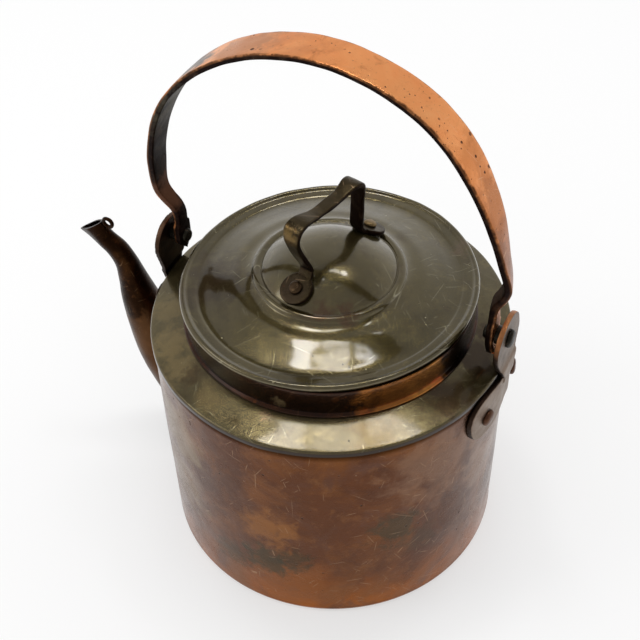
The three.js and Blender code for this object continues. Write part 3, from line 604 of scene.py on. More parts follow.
SAND = (0.3, 0.215, 0.09)
SATIN = (0.24, 0.42)
worn_copper = wall_look()
lid_tin = tin_look(
    "old_tin_lid",
    (0.104, 0.08, 0.029),
    [
        ((-53, -34, 188), 20, (0.046, 0.028, 0.006), 0.8),
        ((-66, -22, 188), 17, (0.05, 0.03, 0.008), 0.7),
        ((-62, -44, 188), 12, (0.06, 0.036, 0.01), 0.5),
        ((57, 56, 188), 8, (0.17, 0.105, 0.07), 0.4),
        # Painted dark reflection: a brown crescent at the front of the dome's foot.
        ((14, -38, 198), 8, (0.08, 0.034, 0.008), 0.8),
        ((28, -33, 198), 9, (0.08, 0.034, 0.008), 0.8),
    ],
)
shoulder_tin = tin_look(
    "old_tin_shoulder",
    (0.128, 0.1, 0.044),
    [
        ((-68, -64, 160), 15, SAND, 0.5),
        ((-56, -78, 160), 12, SAND, 0.45),
        ((-86, -40, 160), 12, SAND, 0.3),
        ((-30, -90, 160), 11, SAND, 0.3),
        ((-45, -80, 160), 8, (0.06, 0.032, 0.008), 0.6),
        ((5, -88, 160), 5, (0.25, 0.15, 0.1), 0.3),
        # Painted dark reflection of the rear ear and bail, on the shoulder beside the ear.
        ((88, -34, 161), 17, (0.05, 0.024, 0.008), 0.7),
        ((92, 0, 160), 16, (0.03, 0.014, 0.005), 0.85),
        ((90, 20, 160), 12, (0.036, 0.016, 0.006), 0.7),
        ((62, -72, 160), 16, (0.13, 0.08, 0.024), 0.4),
    ],
    rough=(0.17, 0.26),
    coat=0.45,
    skirt=157.6,
)
collar_copper = dark_look(
    "collar_copper",
    (0.026, 0.008, 0.002),
    (0.09, 0.028, 0.006),
    rough=(0.16, 0.28),
    metal=0.95,
    # Apart from the small pale fleck, these spots are painted reflections: orange patches for copper mirrored
    # on the right front, near black for the rear ear and bail on the right, and dark brown for the shoulder
    # at the front and front left. The two small spots on the bead at the foot are its copper seam, brightened
    # as painted reflection.
    spots=[
        ((64, -56, 171), 22, (0.44, 0.16, 0.028), 0.65),
        ((77, -36, 172), 14, (0.48, 0.2, 0.04), 0.8),
        ((26, -80, 168), 12, (0.016, 0.005, 0.002), 0.35),
        ((84, -4, 170), 15, (0.003, 0.001, 0.001), 0.95),
        ((10, -84, 170), 4, (0.36, 0.28, 0.17), 0.7),
        ((-30, -78, 168), 18, (0.008, 0.003, 0.001), 0.7),
        ((78, -30, 163), 6, (0.56, 0.15, 0.036), 0.7),
        ((52, -66, 163), 5, (0.3, 0.07, 0.015), 0.6),
    ],
    coat=0.25,
)
spout_copper = dark_look(
    "spout_copper",
    (0.016, 0.006, 0.002),
    (0.06, 0.024, 0.007),
    rough=SATIN,
    metal=0.97,
    spots=[
        ((-116, -14, 78), 40, (0.085, 0.036, 0.013), 0.8),
        ((-128, -12, 98), 20, (0.12, 0.055, 0.022), 0.6),
        ((-112, -16, 58), 26, (0.1, 0.042, 0.012), 0.6),
    ],
)
# One copper for both ears. The upper edges are painted as lit, brightly on the rear ear and dimly on the
# front ear.
rear_ear_copper = ear_look("rear_ear_copper", (0.5, 0.205, 0.078))
front_ear_copper = ear_look("front_ear_copper", (0.12, 0.062, 0.034))
pin_copper = dark_look("pin_copper", (0.012, 0.01, 0.006), (0.04, 0.034, 0.018))
rivet_copper = dark_look("rivet_copper", (0.064, 0.026, 0.012), (0.17, 0.072, 0.032), SATIN)
near_rivet_brass = dark_look("near_rivet_brass", (0.05, 0.028, 0.012), (0.13, 0.078, 0.034), SATIN)
far_rivet_brass = dark_look("far_rivet_brass", (0.15, 0.098, 0.04), (0.3, 0.21, 0.1), SATIN)
dull_tin = tin_look("dull_tin", (0.2, 0.2, 0.15), rough=(0.3, 0.45), coat=0.0)
bail_copper = strap_look(
    "bail_copper",
    # The outer face is bright copper, raised further as painted highlight to the brightness of the lamps'
    # highlight on the arch.
    (0.98, 0.365, 0.125),
    [
        (60, 0.45, 0.62, (1.0, 0.45, 0.175), 0.7),
        (30, 0.56, 0.7, (0.66, 0.225, 0.08), 0.5),
        (10, 0.58, 0.72, (0.4, 0.12, 0.038), 0.55),
        (3, 0.6, 0.72, (0.34, 0.1, 0.034), 0.4),
    ],
    (0.05, 0.022, 0.011),
    ((0.01, 0.004, 0.003), (0.06, 0.034, 0.02)),
    spots=[
        ((-74, 0, 304), 17, (0.034, 0.022, 0.014), 0.95),
        ((-44, 0, 326), 22, (0.52, 0.23, 0.11), 0.7),
        ((101, 0, 243), 26, (0.2, 0.078, 0.034), 0.9),
        ((104, 0, 218), 20, (0.22, 0.085, 0.042), 0.85),
        ((91, 0, 268), 30, (0.42, 0.145, 0.042), 0.85),
        ((76, 0, 292), 18, (0.62, 0.215, 0.06), 0.6),
    ],
    inner_spots=[
        ((-106, 0, 276), 18, (0.085, 0.072, 0.046), 0.7),
        ((-96, 0, 294), 20, (0.1, 0.09, 0.066), 0.8),
        ((-106, 0, 214), 14, (0.12, 0.052, 0.028), 0.8),
        ((99, 0, 212), 10, (0.06, 0.026, 0.012), 0.6),
    ],
)
handle_metal = strap_look(
    "handle_metal",
    (0.044, 0.032, 0.016),
    [
        (24, 0.46, 0.62, (0.085, 0.062, 0.032), 0.7),
        (9, 0.54, 0.7, (0.016, 0.007, 0.003), 0.7),
        (4, 0.6, 0.74, (0.26, 0.18, 0.085), 0.5),
    ],
    (0.014, 0.006, 0.003),
    ((0.01, 0.004, 0.002), (0.05, 0.03, 0.016)),
    spots=[
        ((-9, -29, 236), 7, (0.19, 0.12, 0.042), 0.7),
        ((-9, -33, 202), 13, (0.06, 0.042, 0.026), 0.85),
        ((-6, -23, 216), 9, (0.018, 0.007, 0.003), 0.9),
    ],
)


# ---- body


def add_base():
    centre = BODY_RADIUS - BASE_CORNER
    corner = arc(centre, BASE_CORNER, BASE_CORNER, -90, 0, 8)
    inside = arc(centre, BASE_CORNER, BASE_CORNER - SHEET, 0, -90, 6)
    rim = [(BODY_RADIUS, BASE_RIM), (BODY_RADIUS - SHEET, BASE_RIM)]
    profile = [(r, 0.0) for r in (0, 30, 60, 85)] + corner + rim + inside + [(60, SHEET), (0, SHEET)]
    base = new_object("base_sheet", *turned(profile, 200))
    finish_piece(base, "kettle", "base", worn_copper)


# From root to mouth: distance from the axis, height, direction of the lower side, half depth, half width
SPOUT_SECTIONS = np.array([
    (94, 28, -32, 20.8, 20.4),
    (106, 44, -33, 20, 19.8),
    (117, 61, -30, 19.2, 18.8),
    (126.5, 79, -21, 17.6, 17.2),
    (133.9, 101, -18, 14.7, 14.4),
    (139, 117, -14, 11.8, 11.6),
    (141.8, 131, -12, 9.2, 9),
    (144.8, 143, -24, 7.5, 7.2),
    (149.8, 151.6, -39, 7, 6.6),
    (157.6, 157.6, -44, 7.4, 5.9),
    (167.2, 165.2, -33.5, 10.5, 4.8),
])


def spout_sizes(t):
    """A smooth curve through the sections, from 0 at the root to 1 at the mouth."""
    first = 2 * SPOUT_SECTIONS[0] - SPOUT_SECTIONS[1]
    last = 2 * SPOUT_SECTIONS[-1] - SPOUT_SECTIONS[-2]
    at = min(t, 0.999999) * (len(SPOUT_SECTIONS) - 1)
    i = int(at)
    u = at - i
    a, b, c, d = np.vstack([first, SPOUT_SECTIONS, last])[i : i + 4]
    return 0.5 * (2 * b + (c - a) * u + (2 * a - 5 * b + 4 * c - d) * u**2 + (3 * b - a - 3 * c + d) * u**3)


def spout_ring(t, inset, count, slide=0.0):
    reach, height, aim, depth, width = spout_sizes(t)
    low = math.radians(aim)
    beak = 0.45 * smoothstep(t, 0.86, 1)
    a = np.linspace(0, 2 * math.pi, count, endpoint=False)
    along = (depth - inset) * np.cos(a)
    side = (inset - width) * np.sin(a) * (1 - beak * np.maximum(0, np.cos(a)))
    x = -(reach + along * math.cos(low) - slide * math.sin(low))
    return np.stack([x, side, height + along * math.sin(low) + slide * math.cos(low)], 1)


def spout_tube(inset, count, steps, overrun=0.0):
    """The spout's skin from inside the wall to the mouth, and past the mouth by overrun."""
    rings = [spout_ring(0, inset, count, slide) for slide in np.linspace(-SPOUT_ROOT, 0, 8, endpoint=False)]
    rings += [spout_ring(i / steps, inset, count) for i in range(steps + 1)]
    if overrun:
        rings.append(spout_ring(1, inset, count, overrun))
    return lofted(rings)


def add_wall():
    """A straight wall, stepped in at the top to go under the shoulder's lip."""
    lip = BODY_HEIGHT - LIP_HEIGHT - GAP
    top = BODY_HEIGHT - SHEET - 3 * GAP
    tucked = SHOULDER_OUTER - SHEET - GAP
    outline = [
        (BODY_RADIUS, BASE_RIM),
        (BODY_RADIUS, lip - SHEET),
        (tucked, lip),
        (tucked, top),
        (tucked - SHEET, top),
        (tucked - SHEET, lip),
        (BODY_RADIUS - SHEET, lip - SHEET),
        (BODY_RADIUS - SHEET, BASE_RIM),
    ]
    wall = new_object("wall_sheet", *turned(refined(outline, 3.0), 240))
    cut(wall, *spout_tube(SPOUT_SHEET, 48, 44, 4))
    dented(wall, (85, 0.1, 3), (34, 0.05, 4))
    finish_piece(wall, "kettle", "wall", worn_copper)


def shoulder_height(r):
    return BODY_HEIGHT + (SHOULDER_OUTER - r) * SHOULDER_TILT


def add_shoulder():
    inner = NECK_RADIUS + GAP / 2
    bend = SHOULDER_OUTER - SHEET - 1
    outline = [
        (SHOULDER_OUTER, BODY_HEIGHT - LIP_HEIGHT),
        *arc(SHOULDER_OUTER - 1.6, BODY_HEIGHT - 1.4, 1.6, 0, 75, 7),
        (inner, shoulder_height(inner)),
        (inner, shoulder_height(inner) - SHEET),
        (bend, shoulder_height(bend) - SHEET),
        (SHOULDER_OUTER - SHEET, BODY_HEIGHT - 2.1),
        (SHOULDER_OUTER - SHEET, BODY_HEIGHT - LIP_HEIGHT),
    ]
    shoulder = new_object("shoulder_sheet", *turned(refined(outline, 2.0), 240))
    dented(shoulder, (38, 0.14, 11), (17, 0.05, 12))
    finish_piece(shoulder, "kettle", "shoulder", shoulder_tin)


def add_collar():
    """The neck, with a bead at its foot and a flange under the shoulder."""
    inner = NECK_RADIUS - SHEET
    bead = shoulder_height(NECK_RADIUS + NECK_BEAD) + GAP / 2 + NECK_BEAD
    wide = NECK_RADIUS + 4
    under = shoulder_height(wide) - SHEET - GAP
    outline = [
        (inner, under - SHEET),
        (wide, under - SHEET),
        (wide, under),
        (NECK_RADIUS, shoulder_height(NECK_RADIUS) - SHEET - GAP),
        (NECK_RADIUS, bead - NECK_BEAD),
        *arc(NECK_RADIUS + 0.5, bead, NECK_BEAD, -70, 70, 8),
        (NECK_RADIUS, bead + 1.7),
        *arc(NECK_RADIUS - 0.5, NECK_TOP - 0.5, 0.5, 0, 90, 4),
        *arc(inner + 0.5, NECK_TOP - 0.5, 0.5, 90, 180, 4),
    ]
    collar = new_object("collar_band", *turned(refined(outline, 2.0), 240))
    dented(collar, (40, 0.12, 21), (15, 0.05, 22))
    finish_piece(collar, "kettle", "neck_collar", collar_copper)


def add_spout():
    spout = new_object("spout_tube", *spout_tube(0, 64, 110))
    cut(spout, *spout_tube(SPOUT_SHEET, 48, 80, 4))
    clear = BODY_RADIUS + 0.02
    cut(spout, *turned([(0, -2), (clear, -2), (clear, BODY_HEIGHT), (0, BODY_HEIGHT)], 240))
    dented(spout, (30, 0.16, 31), (12, 0.06, 32))
    finish_piece(spout, "kettle", "spout", spout_copper, 50)


def add_eye():
    """A wire ring that touches the back of the spout's mouth."""
    reach, height, aim, depth, _ = spout_sizes(1)
    low = math.radians(aim)
    wire, radius = 1.25, 3.1
    back = depth + wire + radius - 0.05
    lift = -radius * 0.73
    x = -(reach - back * math.cos(low) - lift * math.sin(low))
    z = height - back * math.sin(low) + lift * math.cos(low)
    ring, faces = turned(arc(radius, 0, wire, 0, 360 * 13 / 14, 13), 40)
    points = np.stack([x + ring[:, 0], -0.96 * ring[:, 2], z + ring[:, 1]], 1)
    eye = new_object("spout_loop", points, faces)
    dented(eye, (4, 0.06, 41))
    finish_piece(eye, "kettle", "spout_eye", spout_copper, 80)


# ---- ears, pins and rivets


def foot_outline():
    """Half of the foot's outline below the waist, from the middle of its lower edge to the waist."""
    spans = [
        ((0.17, 0.89), (0.29, 1), (0.52, 1)),
        ((0.74, 1), (0.9, 0.9), (0.95, 0.72)),
        ((1.03, 0.46), (1, 0.23), (0.8, 0.11)),
        ((0.6, 0.03), (0.42, 0.12), (0.25, 0.15)),
    ]
    line, start = [], (0, 0.87)
    for first, second, end in spans:
        for t in np.arange(24) / 24:
            weights = ((1 - t) ** 3, 3 * t * (1 - t) ** 2, 3 * t**2 * (1 - t), t**3)
            line.append(np.dot(weights, (start, first, second, end)))
        start = end
    return np.array(line + [start]) * (EAR_FOOT, -EAR_FOOT_DEPTH) + (0, BODY_HEIGHT - 0.6)


def ear_parts(disc, lean):
    """Closed pieces of one ear at +X: columns of the foot, then level slices of the lobe."""
    line = foot_outline()
    widest = int(np.argmax(line[:, 0]))
    lower, upper = line[: widest + 1], line[widest:][::-1]
    inner = BODY_RADIUS + 0.12
    middle = 1.2 * (EAR_SHIFT + lean)
    reach = line[widest, 0] - 0.05
    rings = []
    for share in np.linspace(-1, 1, 91):
        at = abs(share) * reach
        y = share * reach + middle * (1 - at / EAR_FOOT)
        low = np.interp(at, lower[:, 0], lower[:, 1])
        high = max(np.interp(at, upper[:, 0], upper[:, 1]), low + 0.05)
        heights = np.linspace(low, high, 24)
        sides = (inner, heights), (inner + EAR_THICKNESS, heights[::-1])
        rings.append([(math.sqrt(radius**2 - y**2), y, z) for radius, zs in sides for z in zs])
    foot = lofted(rings)
    waist, neck, centre = EAR_WAIST, BODY_HEIGHT - EAR_WAIST_DROP, PIVOT - EAR_DISC_DROP
    rise = centre - neck
    join = math.atan2(waist, rise) + math.acos(disc / math.hypot(waist, rise))
    top = centre - disc * math.cos(join)
    widening = (disc * math.sin(join) - waist) / (top - neck)
    slices = [(z, waist + max(0, widening * (z - neck))) for z in np.linspace(neck - 4, top, 30)]
    turns = np.linspace(join, math.pi - 0.02, 48)[1:]
    slices += [(centre - disc * math.cos(a), disc * math.sin(a)) for a in turns]
    rings = []
    for z, half in slices:
        inside = 105.7 - EAR_CRANK * smoothstep(z, BODY_HEIGHT + 0.8, BODY_HEIGHT + 4.4)
        aside = EAR_SHIFT + lean * min(1, max(0, (PIVOT - z) / (PIVOT - neck)))
        ring = [(inside, aside + y, z) for y in np.linspace(-half, half, 20)]
        ring += [(inside + EAR_THICKNESS, aside + y, z) for y in np.linspace(half, -half, 20)]
        rings.append(ring[::-1])
    return foot, lofted(rings)


def add_ear(where, turn, disc, lean, look):
    """One ear: its foot and lobe grown together by a fine remesh."""
    (foot, faces), (lobe, lobe_faces) = ear_parts(disc, lean)
    faces += [tuple(len(foot) + i for i in face) for face in lobe_faces]
    ear = new_object(f"ear_plate_{where}", turn_z(np.vstack([foot, lobe]), turn), faces)
    remesh = ear.modifiers.new("even", "REMESH")
    remesh.mode = "VOXEL"
    remesh.voxel_size = 0.5 * MM
    ease = ear.modifiers.new("ease", "SMOOTH")
    ease.factor = 0.5
    ease.iterations = 5
    applied(ear)
    dented(ear, (22, 0.1, 51 if turn else 52), (8, 0.05, 53))
    finish_piece(ear, "kettle", f"ear_{where}", look, 180)


def head(radius, height, start):
    """The profile of a hammered head: rounded rim, low dome."""
    dome = np.radians(np.linspace(0, 90, 9)[:-1])
    points = [(radius * math.cos(a) ** 0.6, start + height * (0.25 + 0.75 * math.sin(a))) for a in dome]
    return points + [(0, start + height)]


def add_fastener(name, profile, angle, height, turn, node, look, seed):
    """A round bar that points outwards, from (radius, distance) points that start and end on its axis."""
    bar, faces = turned(profile, 40)
    bar = turn_z(np.stack([bar[:, 2], bar[:, 1], -bar[:, 0]], 1), angle) + (0, 0, height)
    piece = new_object(name, turn_z(bar, turn), faces)
    dented(piece, (7, 0.12, seed), (3, 0.04, seed + 1))
    finish_piece(piece, "kettle", node, look, 60)


def add_ear_fittings(where, turn, lean, end):
    """Two rivets through the ear's foot, the pin through its lobe and the washer between lobe and bail."""
    outer = BODY_RADIUS + 3.3
    inner = math.sqrt((BODY_RADIUS - SHEET) ** 2 - 25) - GAP
    inside = [(0, inner - 1.4), (3.6, inner - 1.4), (4.6, inner - 0.7), (4.7, inner), (2.5, inner)]
    rivet = refined(inside, 1.2, False) + [(2.5, outer), (4.9, outer), (5.0, outer + 0.4)]
    rivet += head(5.0, 2.7, outer)
    for hand, side in (("left", 1), ("right", -1)):
        name = f"ear_rivet_{where}_{hand}"
        angle = math.asin((side * EAR_FOOT * 0.613 + (EAR_SHIFT + lean) * 0.387) / BODY_RADIUS)
        height = BODY_HEIGHT - EAR_FOOT_DEPTH * 0.6
        add_fastener(f"{name}_head", rivet, angle, height, turn, name, rivet_copper, 61 + side)
    start = 107.8
    back = end - STRAP_LEGS - 0.25
    shank = [(4.2, back), (3.0, back), (3.0, start), (5.2, start)]
    pin = refined([(0, back - 2.1), (3.2, back - 2.1), (4.1, back - 1.1), *shank], 1.5, False)
    pin += [(5.3, start + 0.5)] + head(5.3, 2.9, start)
    add_fastener(f"bail_pin_{where}_rod", pin, 0, PIVOT, turn, f"bail_pin_{where}", pin_copper, 71)
    near, far = end + 0.4, 104.3
    washer = rounded([(3.3, near), (5.2, near), (5.2, far), (3.3, far)], 0.4, 5)
    name = f"bail_spacer_{where}"
    add_fastener(f"{name}_ring", washer, 0, PIVOT, turn, name, pin_copper, 81)


# ---- straps


def strap_section(half, thick, corner):
    """Points of a strap's section: (across, out), with rounded corners and slightly crowned faces."""
    c = min(corner, thick * 0.95, half * 0.95)
    points = []
    for sx, sy, start in ((1, 1, 0), (-1, 1, 90), (-1, -1, 180), (1, -1, 270)):
        for a in np.radians(np.linspace(start, start + 90, 5)):
            points.append((sx * (half - c) + c * math.cos(a), sy * (thick - c) + c * math.sin(a)))
        if start in (0, 180):
            for s in np.linspace(1, -1, 9)[1:-1]:
                x = s * (half - c) * sx
                points.append((x, sy * (thick + 0.14 * (1 - s * s))))
    return points


def strap(name, path, side_at, width_at, thick_at, corner, hangs):
    """A strap swept along a path. Its mesh carries where each point lies: 0, across and out, as shares."""
    rings, lay = [], []
    for i, p in enumerate(path):
        along = path[min(i + 1, len(path) - 1)] - path[max(i - 1, 0)]
        side = side_at(p)
        out = np.cross(along, side)
        out /= np.linalg.norm(out)
        half = max(0.25, width_at(p, i) / 2)
        thick = thick_at(p, i) / 2
        section = strap_section(half, thick, corner)
        drop = thick if hangs else 0
        rings.append([p + side * a + out * (b - drop) for a, b in section])
        full = max(half, 4.0)
        lay += [(0.0, a / full, max(-1.0, min(1.0, b / thick))) for a, b in section]
    points, faces = lofted(rings)
    obj = new_object(name, points, faces)
    attribute = obj.data.attributes.new("lay", "FLOAT_VECTOR", "POINT")
    attribute.data.foreach_set("vector", np.array(lay, float).ravel())
    return obj


# The arch's outline on each side: shares of its reach, then shares of its rise
FRONT_ARCH = (
    (0.99, 0.932, 0.831, 0.689, 0.515, 0.319, 0.109),
    (0.114, 0.335, 0.538, 0.712, 0.85, 0.947, 0.995),
)
REAR_ARCH = (
    (0.963, 0.943, 0.898, 0.806, 0.687, 0.527, 0.33, 0.112),
    (0.126, 0.198, 0.333, 0.529, 0.699, 0.841, 0.939, 0.993),
)
# Side, faces of the end and the leg, drop of the tip, levels of the joggle, foot of the arch, its outline
BAIL_HALVES = (
    (-1, END_FRONT, 110.8, TIP_FRONT, 17, 34, 49, FRONT_ARCH),
    (1, END_REAR, 106.2, TIP_REAR, 20, 39, 41, REAR_ARCH),
)


def bail_path():
    path = []
    for side, end, leg, drop, low, high, foot, outline in BAIL_HALVES:
        half = [(end, -drop), (end, 0), (end, low * 0.6), (end, low)]
        for a, b in ((0.16, 0.22), (0.52, 0.44), (0.84, 0.7), (1, 1)):
            half.append((end + (leg - end) * a, low + (high - low) * b))
        half += [(leg, foot)] if foot > high + 4 else []
        half += [(leg * a, foot + (ARCH_TOP - foot) * b) for a, b in zip(*outline)]
        placed = [(side * x, 0, PIVOT + z) for x, z in half]
        path += placed + [(0, 0, PIVOT + ARCH_TOP)] if side < 0 else placed[::-1]
    return path


def bail_width(p, _):
    height = p[2] - PIVOT
    if height < 0:
        return STRAP_END * (1 - min(1, -height / (TIP_FRONT if p[0] < 0 else TIP_REAR)) ** 2)
    neck = STRAP_END - 3.8 * smoothstep(height, 7.5, 10.5)
    return neck + 6.6 * smoothstep(height, 14, 60) + 7.8 * smoothstep(height, 58, 117)


def bail_thickness(p, _):
    return STRAP_LEGS - 0.8 * smoothstep(p[2] - PIVOT, 39, 121.6)


def bail_side(p):
    """Direction across the strap: the rear leg is twisted above its joggle."""
    height = p[2] - PIVOT
    share = smoothstep(height, 8.5, 28) * (1 - smoothstep(height, 34, 82))
    twist = math.radians(18.5) * share if p[0] > 0 else 0.0
    return np.array([-math.sin(twist), math.cos(twist), 0.0])


def add_bail():
    line = spaced(smooth_curve(bail_path(), 30), 1.6)
    low = line[0][2], line[-1][2]
    close = [0, 0.12, 0.3, 0.6, 1.0, 1.5, 2.1, 2.8, 3.6]  # sections close together round the tips
    first = [line[0] + (0, 0, d) for d in close]
    last = [line[-1] + (0, 0, d) for d in reversed(close)]
    middle = [p for i, p in enumerate(line) if p[2] > (low[0] if i < len(line) / 2 else low[1]) + 4.4]
    path = np.array(first + middle + last)
    bail = strap("bail_strap", path, bail_side, bail_width, bail_thickness, 0.9, True)
    dented(bail, (34, 0.1, 91), (11, 0.05, 92))
    finish_piece(bail, "bail", "bail", bail_copper, 70)


# ---- lid

BAND = RIM_HEIGHT + 0.6
FIELD_RISE = 9.2
FIELD = BAND - 1 + FIELD_RISE
DOME_BASE = FIELD + 2.2
DOME_RISE = 13.4
DOME_TOP = DOME_BASE + DOME_RISE
DOME_FOOT = 38.0
RING = 42.8
SLOPE = math.radians(27)
DOME = [(r, DOME_TOP - DOME_RISE * (r / DOME_FOOT) ** 2.4) for r in np.linspace(0, DOME_FOOT, 14)]
LID_TOP = np.array(DOME + [
    (38.6, DOME_BASE - 0.7),
    (39.5, DOME_BASE - 0.2),
    (41.0, DOME_BASE - 0.1),
    (42.6, FIELD + 1.6),
    (43.6, FIELD + 0.7),
    (44.2, FIELD - 0.4),
    (54.8, BAND - 1 + FIELD_RISE * 0.62),
    (65.8, BAND - 1 + FIELD_RISE * 0.26),
    (74.5, BAND - 0.65),
    (76.1, BAND - 0.75),
    (77.6, BAND - 0.35),
    (81.9, BAND - 0.1),
])


def out_of_round(points):
    """The lid's edge is out of round: its radius shrinks towards the rim, most in one direction."""
    r = np.hypot(points[:, 0], points[:, 1])
    start = RING + 1.4
    share = np.clip((r - start) / (RIM_RADIUS - start), 0, 1) ** 2
    across = np.cos(np.arctan2(points[:, 1], points[:, 0]) - LID_OVAL_TURN) ** 2
    points[:, :2] *= (1 - LID_OVAL * share * across / np.maximum(r, 1))[:, None]
    return points


def lid_top(r):
    return even_curve(*LID_TOP.T, r)


def add_lid_disc():
    spans = ((0, 37, 26), (37.4, 45, 36), (46.5, 73.5, 20), (74, 81.9, 26))
    radii = np.concatenate([np.linspace(*span) for span in spans])
    top = list(zip(radii, lid_top(radii)))
    under = [(r, z - 1.2) for r, z in top if r < 81.5][::-1]
    roll = arc(RIM_RADIUS, RIM_HEIGHT, 2.0, 148, -125, 18)
    inside = arc(RIM_RADIUS, RIM_HEIGHT, 0.98, -125, 200, 10)
    profile = (top + roll + inside + under)[::-1]
    points, faces = turned(profile, 240)
    lid = new_object("lid_sheet", out_of_round(points), faces)
    dented(lid, (44, 0.16, 101), (17, 0.07, 102), (9, 0.02, 103))
    finish_piece(lid, "lid", "lid_disc", lid_tin)


def add_lid_rings():
    """The wire inside the lid's rolled edge, and the flange that fits in the neck."""
    points, faces = turned(arc(RIM_RADIUS, RIM_HEIGHT, 0.65, 0, 330, 9), 160)
    wire = new_object("lid_rim_core", out_of_round(points), faces)
    finish_piece(wire, "lid", "lid_rim_wire", dull_tin, 80)
    inner, outer, top, low = 80.1, 81.3, 182.75, NECK_TOP - 14
    tapered = [(79.6, low), (80.8, low), (outer, low + 2), (outer, top), (inner, top), (inner, low + 2)]
    points, faces = turned(refined(rounded(tapered, 0.4, 4), 2.5), 200)
    flange = new_object("lid_flange_band", out_of_round(points), faces)
    dented(flange, (36, 0.1, 111))
    finish_piece(flange, "lid", "lid_flange", dull_tin)


def foot_seat(rivet):
    """Height at which a foot's sloping underside rests on the lid."""
    steps = np.linspace(-1, 1, 41) * HANDLE_FOOT * math.cos(SLOPE)
    return float(np.max(lid_top(rivet + steps) + steps * math.tan(SLOPE))) + 0.12


def slip_at(height):
    """How far the near leg is bent sideways at a height: all of it at the foot, none at the bend."""
    return HANDLE_SLIP * (smoothstep(height, DOME_TOP - 4, DOME_TOP + 26.8) - 1)


def handle_half(rivet, leg, reach):
    """From the end of a foot to the bend: distance, height and width."""
    seat = foot_seat(rivet)
    top = DOME_TOP + 33.5
    half = HANDLE_THICKNESS / 2
    rows = []
    for degrees in (6, 16, 26, 38, 50, 64, 78, 90, 102, 116, 130, 142, 152):
        a = math.radians(degrees)
        along = HANDLE_FOOT * math.cos(a)
        x = rivet + along * math.cos(SLOPE) + half * math.sin(SLOPE)
        z = seat - along * math.sin(SLOPE) + half * math.cos(SLOPE)
        rows.append((x, z, 2 * HANDLE_FOOT * math.sin(a)))
    low = seat + (rivet - leg) * math.tan(SLOPE) + half
    rise = top - low
    return rows + [
        (leg + 1, low + 1.2, 8.6),
        (leg, low + 4, 8.6),
        (leg + (reach - leg) * 0.42, low + rise * 0.36, 8.6),
        (leg + (reach - leg) * 0.82, low + rise * 0.6, 8.6),
        (reach, top - 7, 10.3),
        (reach - 1.75, top - 1.75, 11.4),
        (reach - 7, top, 10.7),
        (reach * 0.4, top - 2.1, 8),
    ]


def add_handle():
    far = handle_half(RIVET_FAR, 24.4, 25.4)
    near = [(-x, z, w) for x, z, w in handle_half(RIVET_NEAR, 21.8, 30)]
    rows = far + [(0, DOME_TOP + 30.9, 8)] + near[::-1]
    line = smooth_curve([(x, slip_at(z) if x < 0 else 0, z, w) for x, z, w in rows], 8)
    path = turn_z(line[:, :3], HANDLE_TURN)
    side = turn_z([(0, -1.0, 0)], HANDLE_TURN)[0]
    width, thickness = lambda p, i: line[i, 3], lambda p, i: HANDLE_THICKNESS
    handle = strap("lid_strap", path, lambda p: side, width, thickness, 0.7, False)
    dented(handle, (16, 0.1, 121), (6, 0.05, 122))
    finish_piece(handle, "lid", "lid_handle", handle_metal, 70)


def add_lid_rivet(name, rivet, side, slip, look):
    """A rivet through a foot of the handle, square to the foot."""
    top, under = 3.0, -6.0
    profile = refined([(0, under), (3.2, under), (3.2, under + 0.9), (1.8, under + 0.9)], 0.8, False)
    profile += [(1.8, top), (3.7, top), (3.9, top + 0.3)] + head(3.9, 2.3, top)
    points, faces = turned(profile, 36)
    c, s = math.cos(side * SLOPE), math.sin(side * SLOPE)
    x, y, z = points.T
    tilted = np.stack([x * c + z * s, y, z * c - x * s], 1) + (side * rivet, slip, foot_seat(rivet))
    piece = new_object(f"{name}_head", turn_z(tilted, HANDLE_TURN), faces)
    dented(piece, (6, 0.1, 131), (2.5, 0.04, 132))
    finish_piece(piece, "lid", name, look, 60)


add_base()
add_wall()
add_shoulder()
add_collar()
add_spout()
add_eye()
add_ear("rear", 0, 17.6, LEAN_REAR, rear_ear_copper)
add_ear_fittings("rear", 0, LEAN_REAR, END_REAR)
add_ear("front", math.pi, 15.7, LEAN_FRONT, front_ear_copper)
add_ear_fittings("front", math.pi, LEAN_FRONT, END_FRONT)
add_bail()
add_lid_disc()
add_lid_rings()
add_handle()
add_lid_rivet("lid_rivet_near", RIVET_NEAR, -1, -HANDLE_SLIP, near_rivet_brass)
add_lid_rivet("lid_rivet_far", RIVET_FAR, 1, 0, far_rivet_brass)


# ---- camera, light and floor

PHOTO_TURN = Matrix.Rotation(math.radians(26.8), 4, "Z")


def add_camera():
    pitch, yaw, roll = math.radians(45.1818), math.radians(-0.7466), -0.03165
    forward = Vector((math.sin(yaw) * math.cos(pitch), math.cos(yaw) * math.cos(pitch), -math.sin(pitch)))
    right = forward.cross(Vector((0, 0, 1))).normalized()
    up = right.cross(forward)
    across = right * math.cos(roll) + up * math.sin(roll)
    upright = up * math.cos(roll) - right * math.sin(roll)
    pose = Matrix((across, upright, -forward)).transposed().to_4x4()
    pose.translation = Vector((0, -0.48218, 0.63652))
    data = bpy.data.cameras.new("camera")
    data.sensor_width = 36
    data.lens = 36 * 1157.74 / 640
    data.clip_start = 0.01
    camera = linked("camera", data)
    camera.matrix_world = PHOTO_TURN @ pose
    scene.camera = camera


def add_lamp(name, place, target, size, power):
    data = bpy.data.lights.new(name, "AREA")
    data.shape = "DISK"
    data.size = size
    data.energy = power
    lamp = linked(name, data)
    start = PHOTO_TURN @ Vector(place)
    way = PHOTO_TURN @ Vector(target) - start
    lamp.matrix_world = Matrix.Translation(start) @ way.to_track_quat("-Z", "Y").to_matrix().to_4x4()


def rays(nodes):
    """Two switches: 1 for mirrored rays, and 1 for rays mirrored, through glass or from the camera."""
    path = nodes.add("ShaderNodeLightPath").outputs
    seen = nodes.math("MAXIMUM", path["Is Camera Ray"], path["Is Glossy Ray"])
    return path["Is Glossy Ray"], nodes.math("MAXIMUM", seen, path["Is Transmission Ray"])


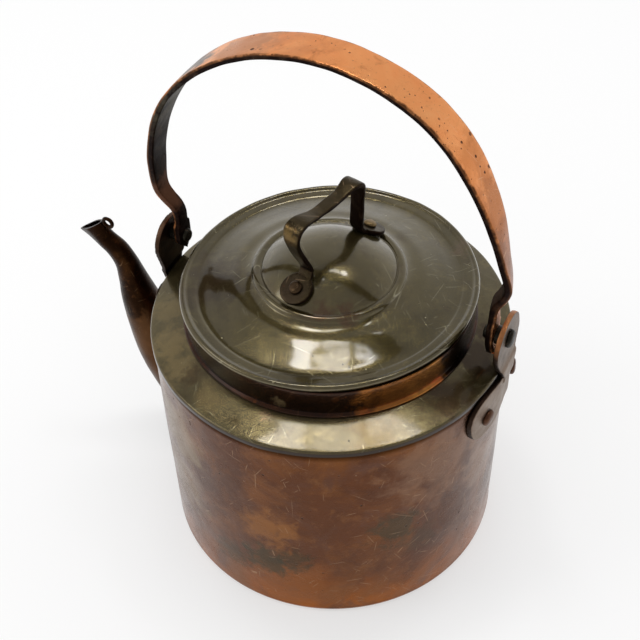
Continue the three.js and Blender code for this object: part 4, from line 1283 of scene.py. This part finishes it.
def add_floor():
    reach = 4000
    corners = [(-reach, -reach, -0.1), (reach, -reach, -0.1), (reach, reach, -0.1), (-reach, reach, -0.1)]
    floor = new_object("floor", corners, [(0, 1, 2, 3)])
    material = bpy.data.materials.new("floor")
    material.use_nodes = True
    nodes = Nodes(material.node_tree)
    shader = nodes.tree.nodes["Principled BSDF"]
    for key, value in (("Base Color", (0.93, 0.93, 0.93)), ("Roughness", 0.9), ("Specular IOR Level", 0.1)):
        nodes.put(shader.inputs[key], value)
    share = nodes.times(rays(nodes)[1], 0.5)
    white = nodes.add("ShaderNodeEmission").outputs[0]
    both = nodes.add("ShaderNodeMixShader", {0: share, 1: shader.outputs[0], 2: white}).outputs[0]
    nodes.put(nodes.tree.nodes["Material Output"].inputs[0], both)
    floor.data.materials.append(material)


def add_world():
    """A white studio, darker on the camera's side where metal mirrors the room behind it."""
    world = bpy.data.worlds.new("studio")
    scene.world = world
    world.use_nodes = True
    world.node_tree.nodes.clear()
    nodes = Nodes(world.node_tree)
    glossy, seen = rays(nodes)
    towards = nodes.add("ShaderNodeTexCoord").outputs["Generated"]
    front = nodes.vector("DOT_PRODUCT", towards, PHOTO_TURN @ Vector((0, -0.3, 0.95)))
    mirrored = nodes.band(front, -0.2, 0.9, 0.82, 0.42, interpolation_type="SMOOTHSTEP")
    level = nodes.add("ShaderNodeMix", {0: glossy, 2: nodes.band(seen, 0, 1, 0.8, 1.0), 3: mirrored})
    light = nodes.add("ShaderNodeBackground", {0: (1, 1, 1), 1: level.outputs[0]})
    nodes.add("ShaderNodeOutputWorld", {0: light.outputs[0]})


add_camera()
add_world()
add_floor()
add_lamp("left_spot", (-0.325, 0.305, 2.04), (0, 0, 0.16), 0.32, 3.8)
add_lamp("right_spot", (0.456, 0.361, 2.04), (0, 0, 0.16), 0.3, 2.8)
add_lamp("middle_spot", (0.065, 0.333, 2.04), (0, 0, 0.16), 0.4, 3)
add_lamp("side", (-1.5, -0.2, 1.3), (0, 0, 0.1), 0.9, 4.2)
scene.view_settings.view_transform = "Standard"
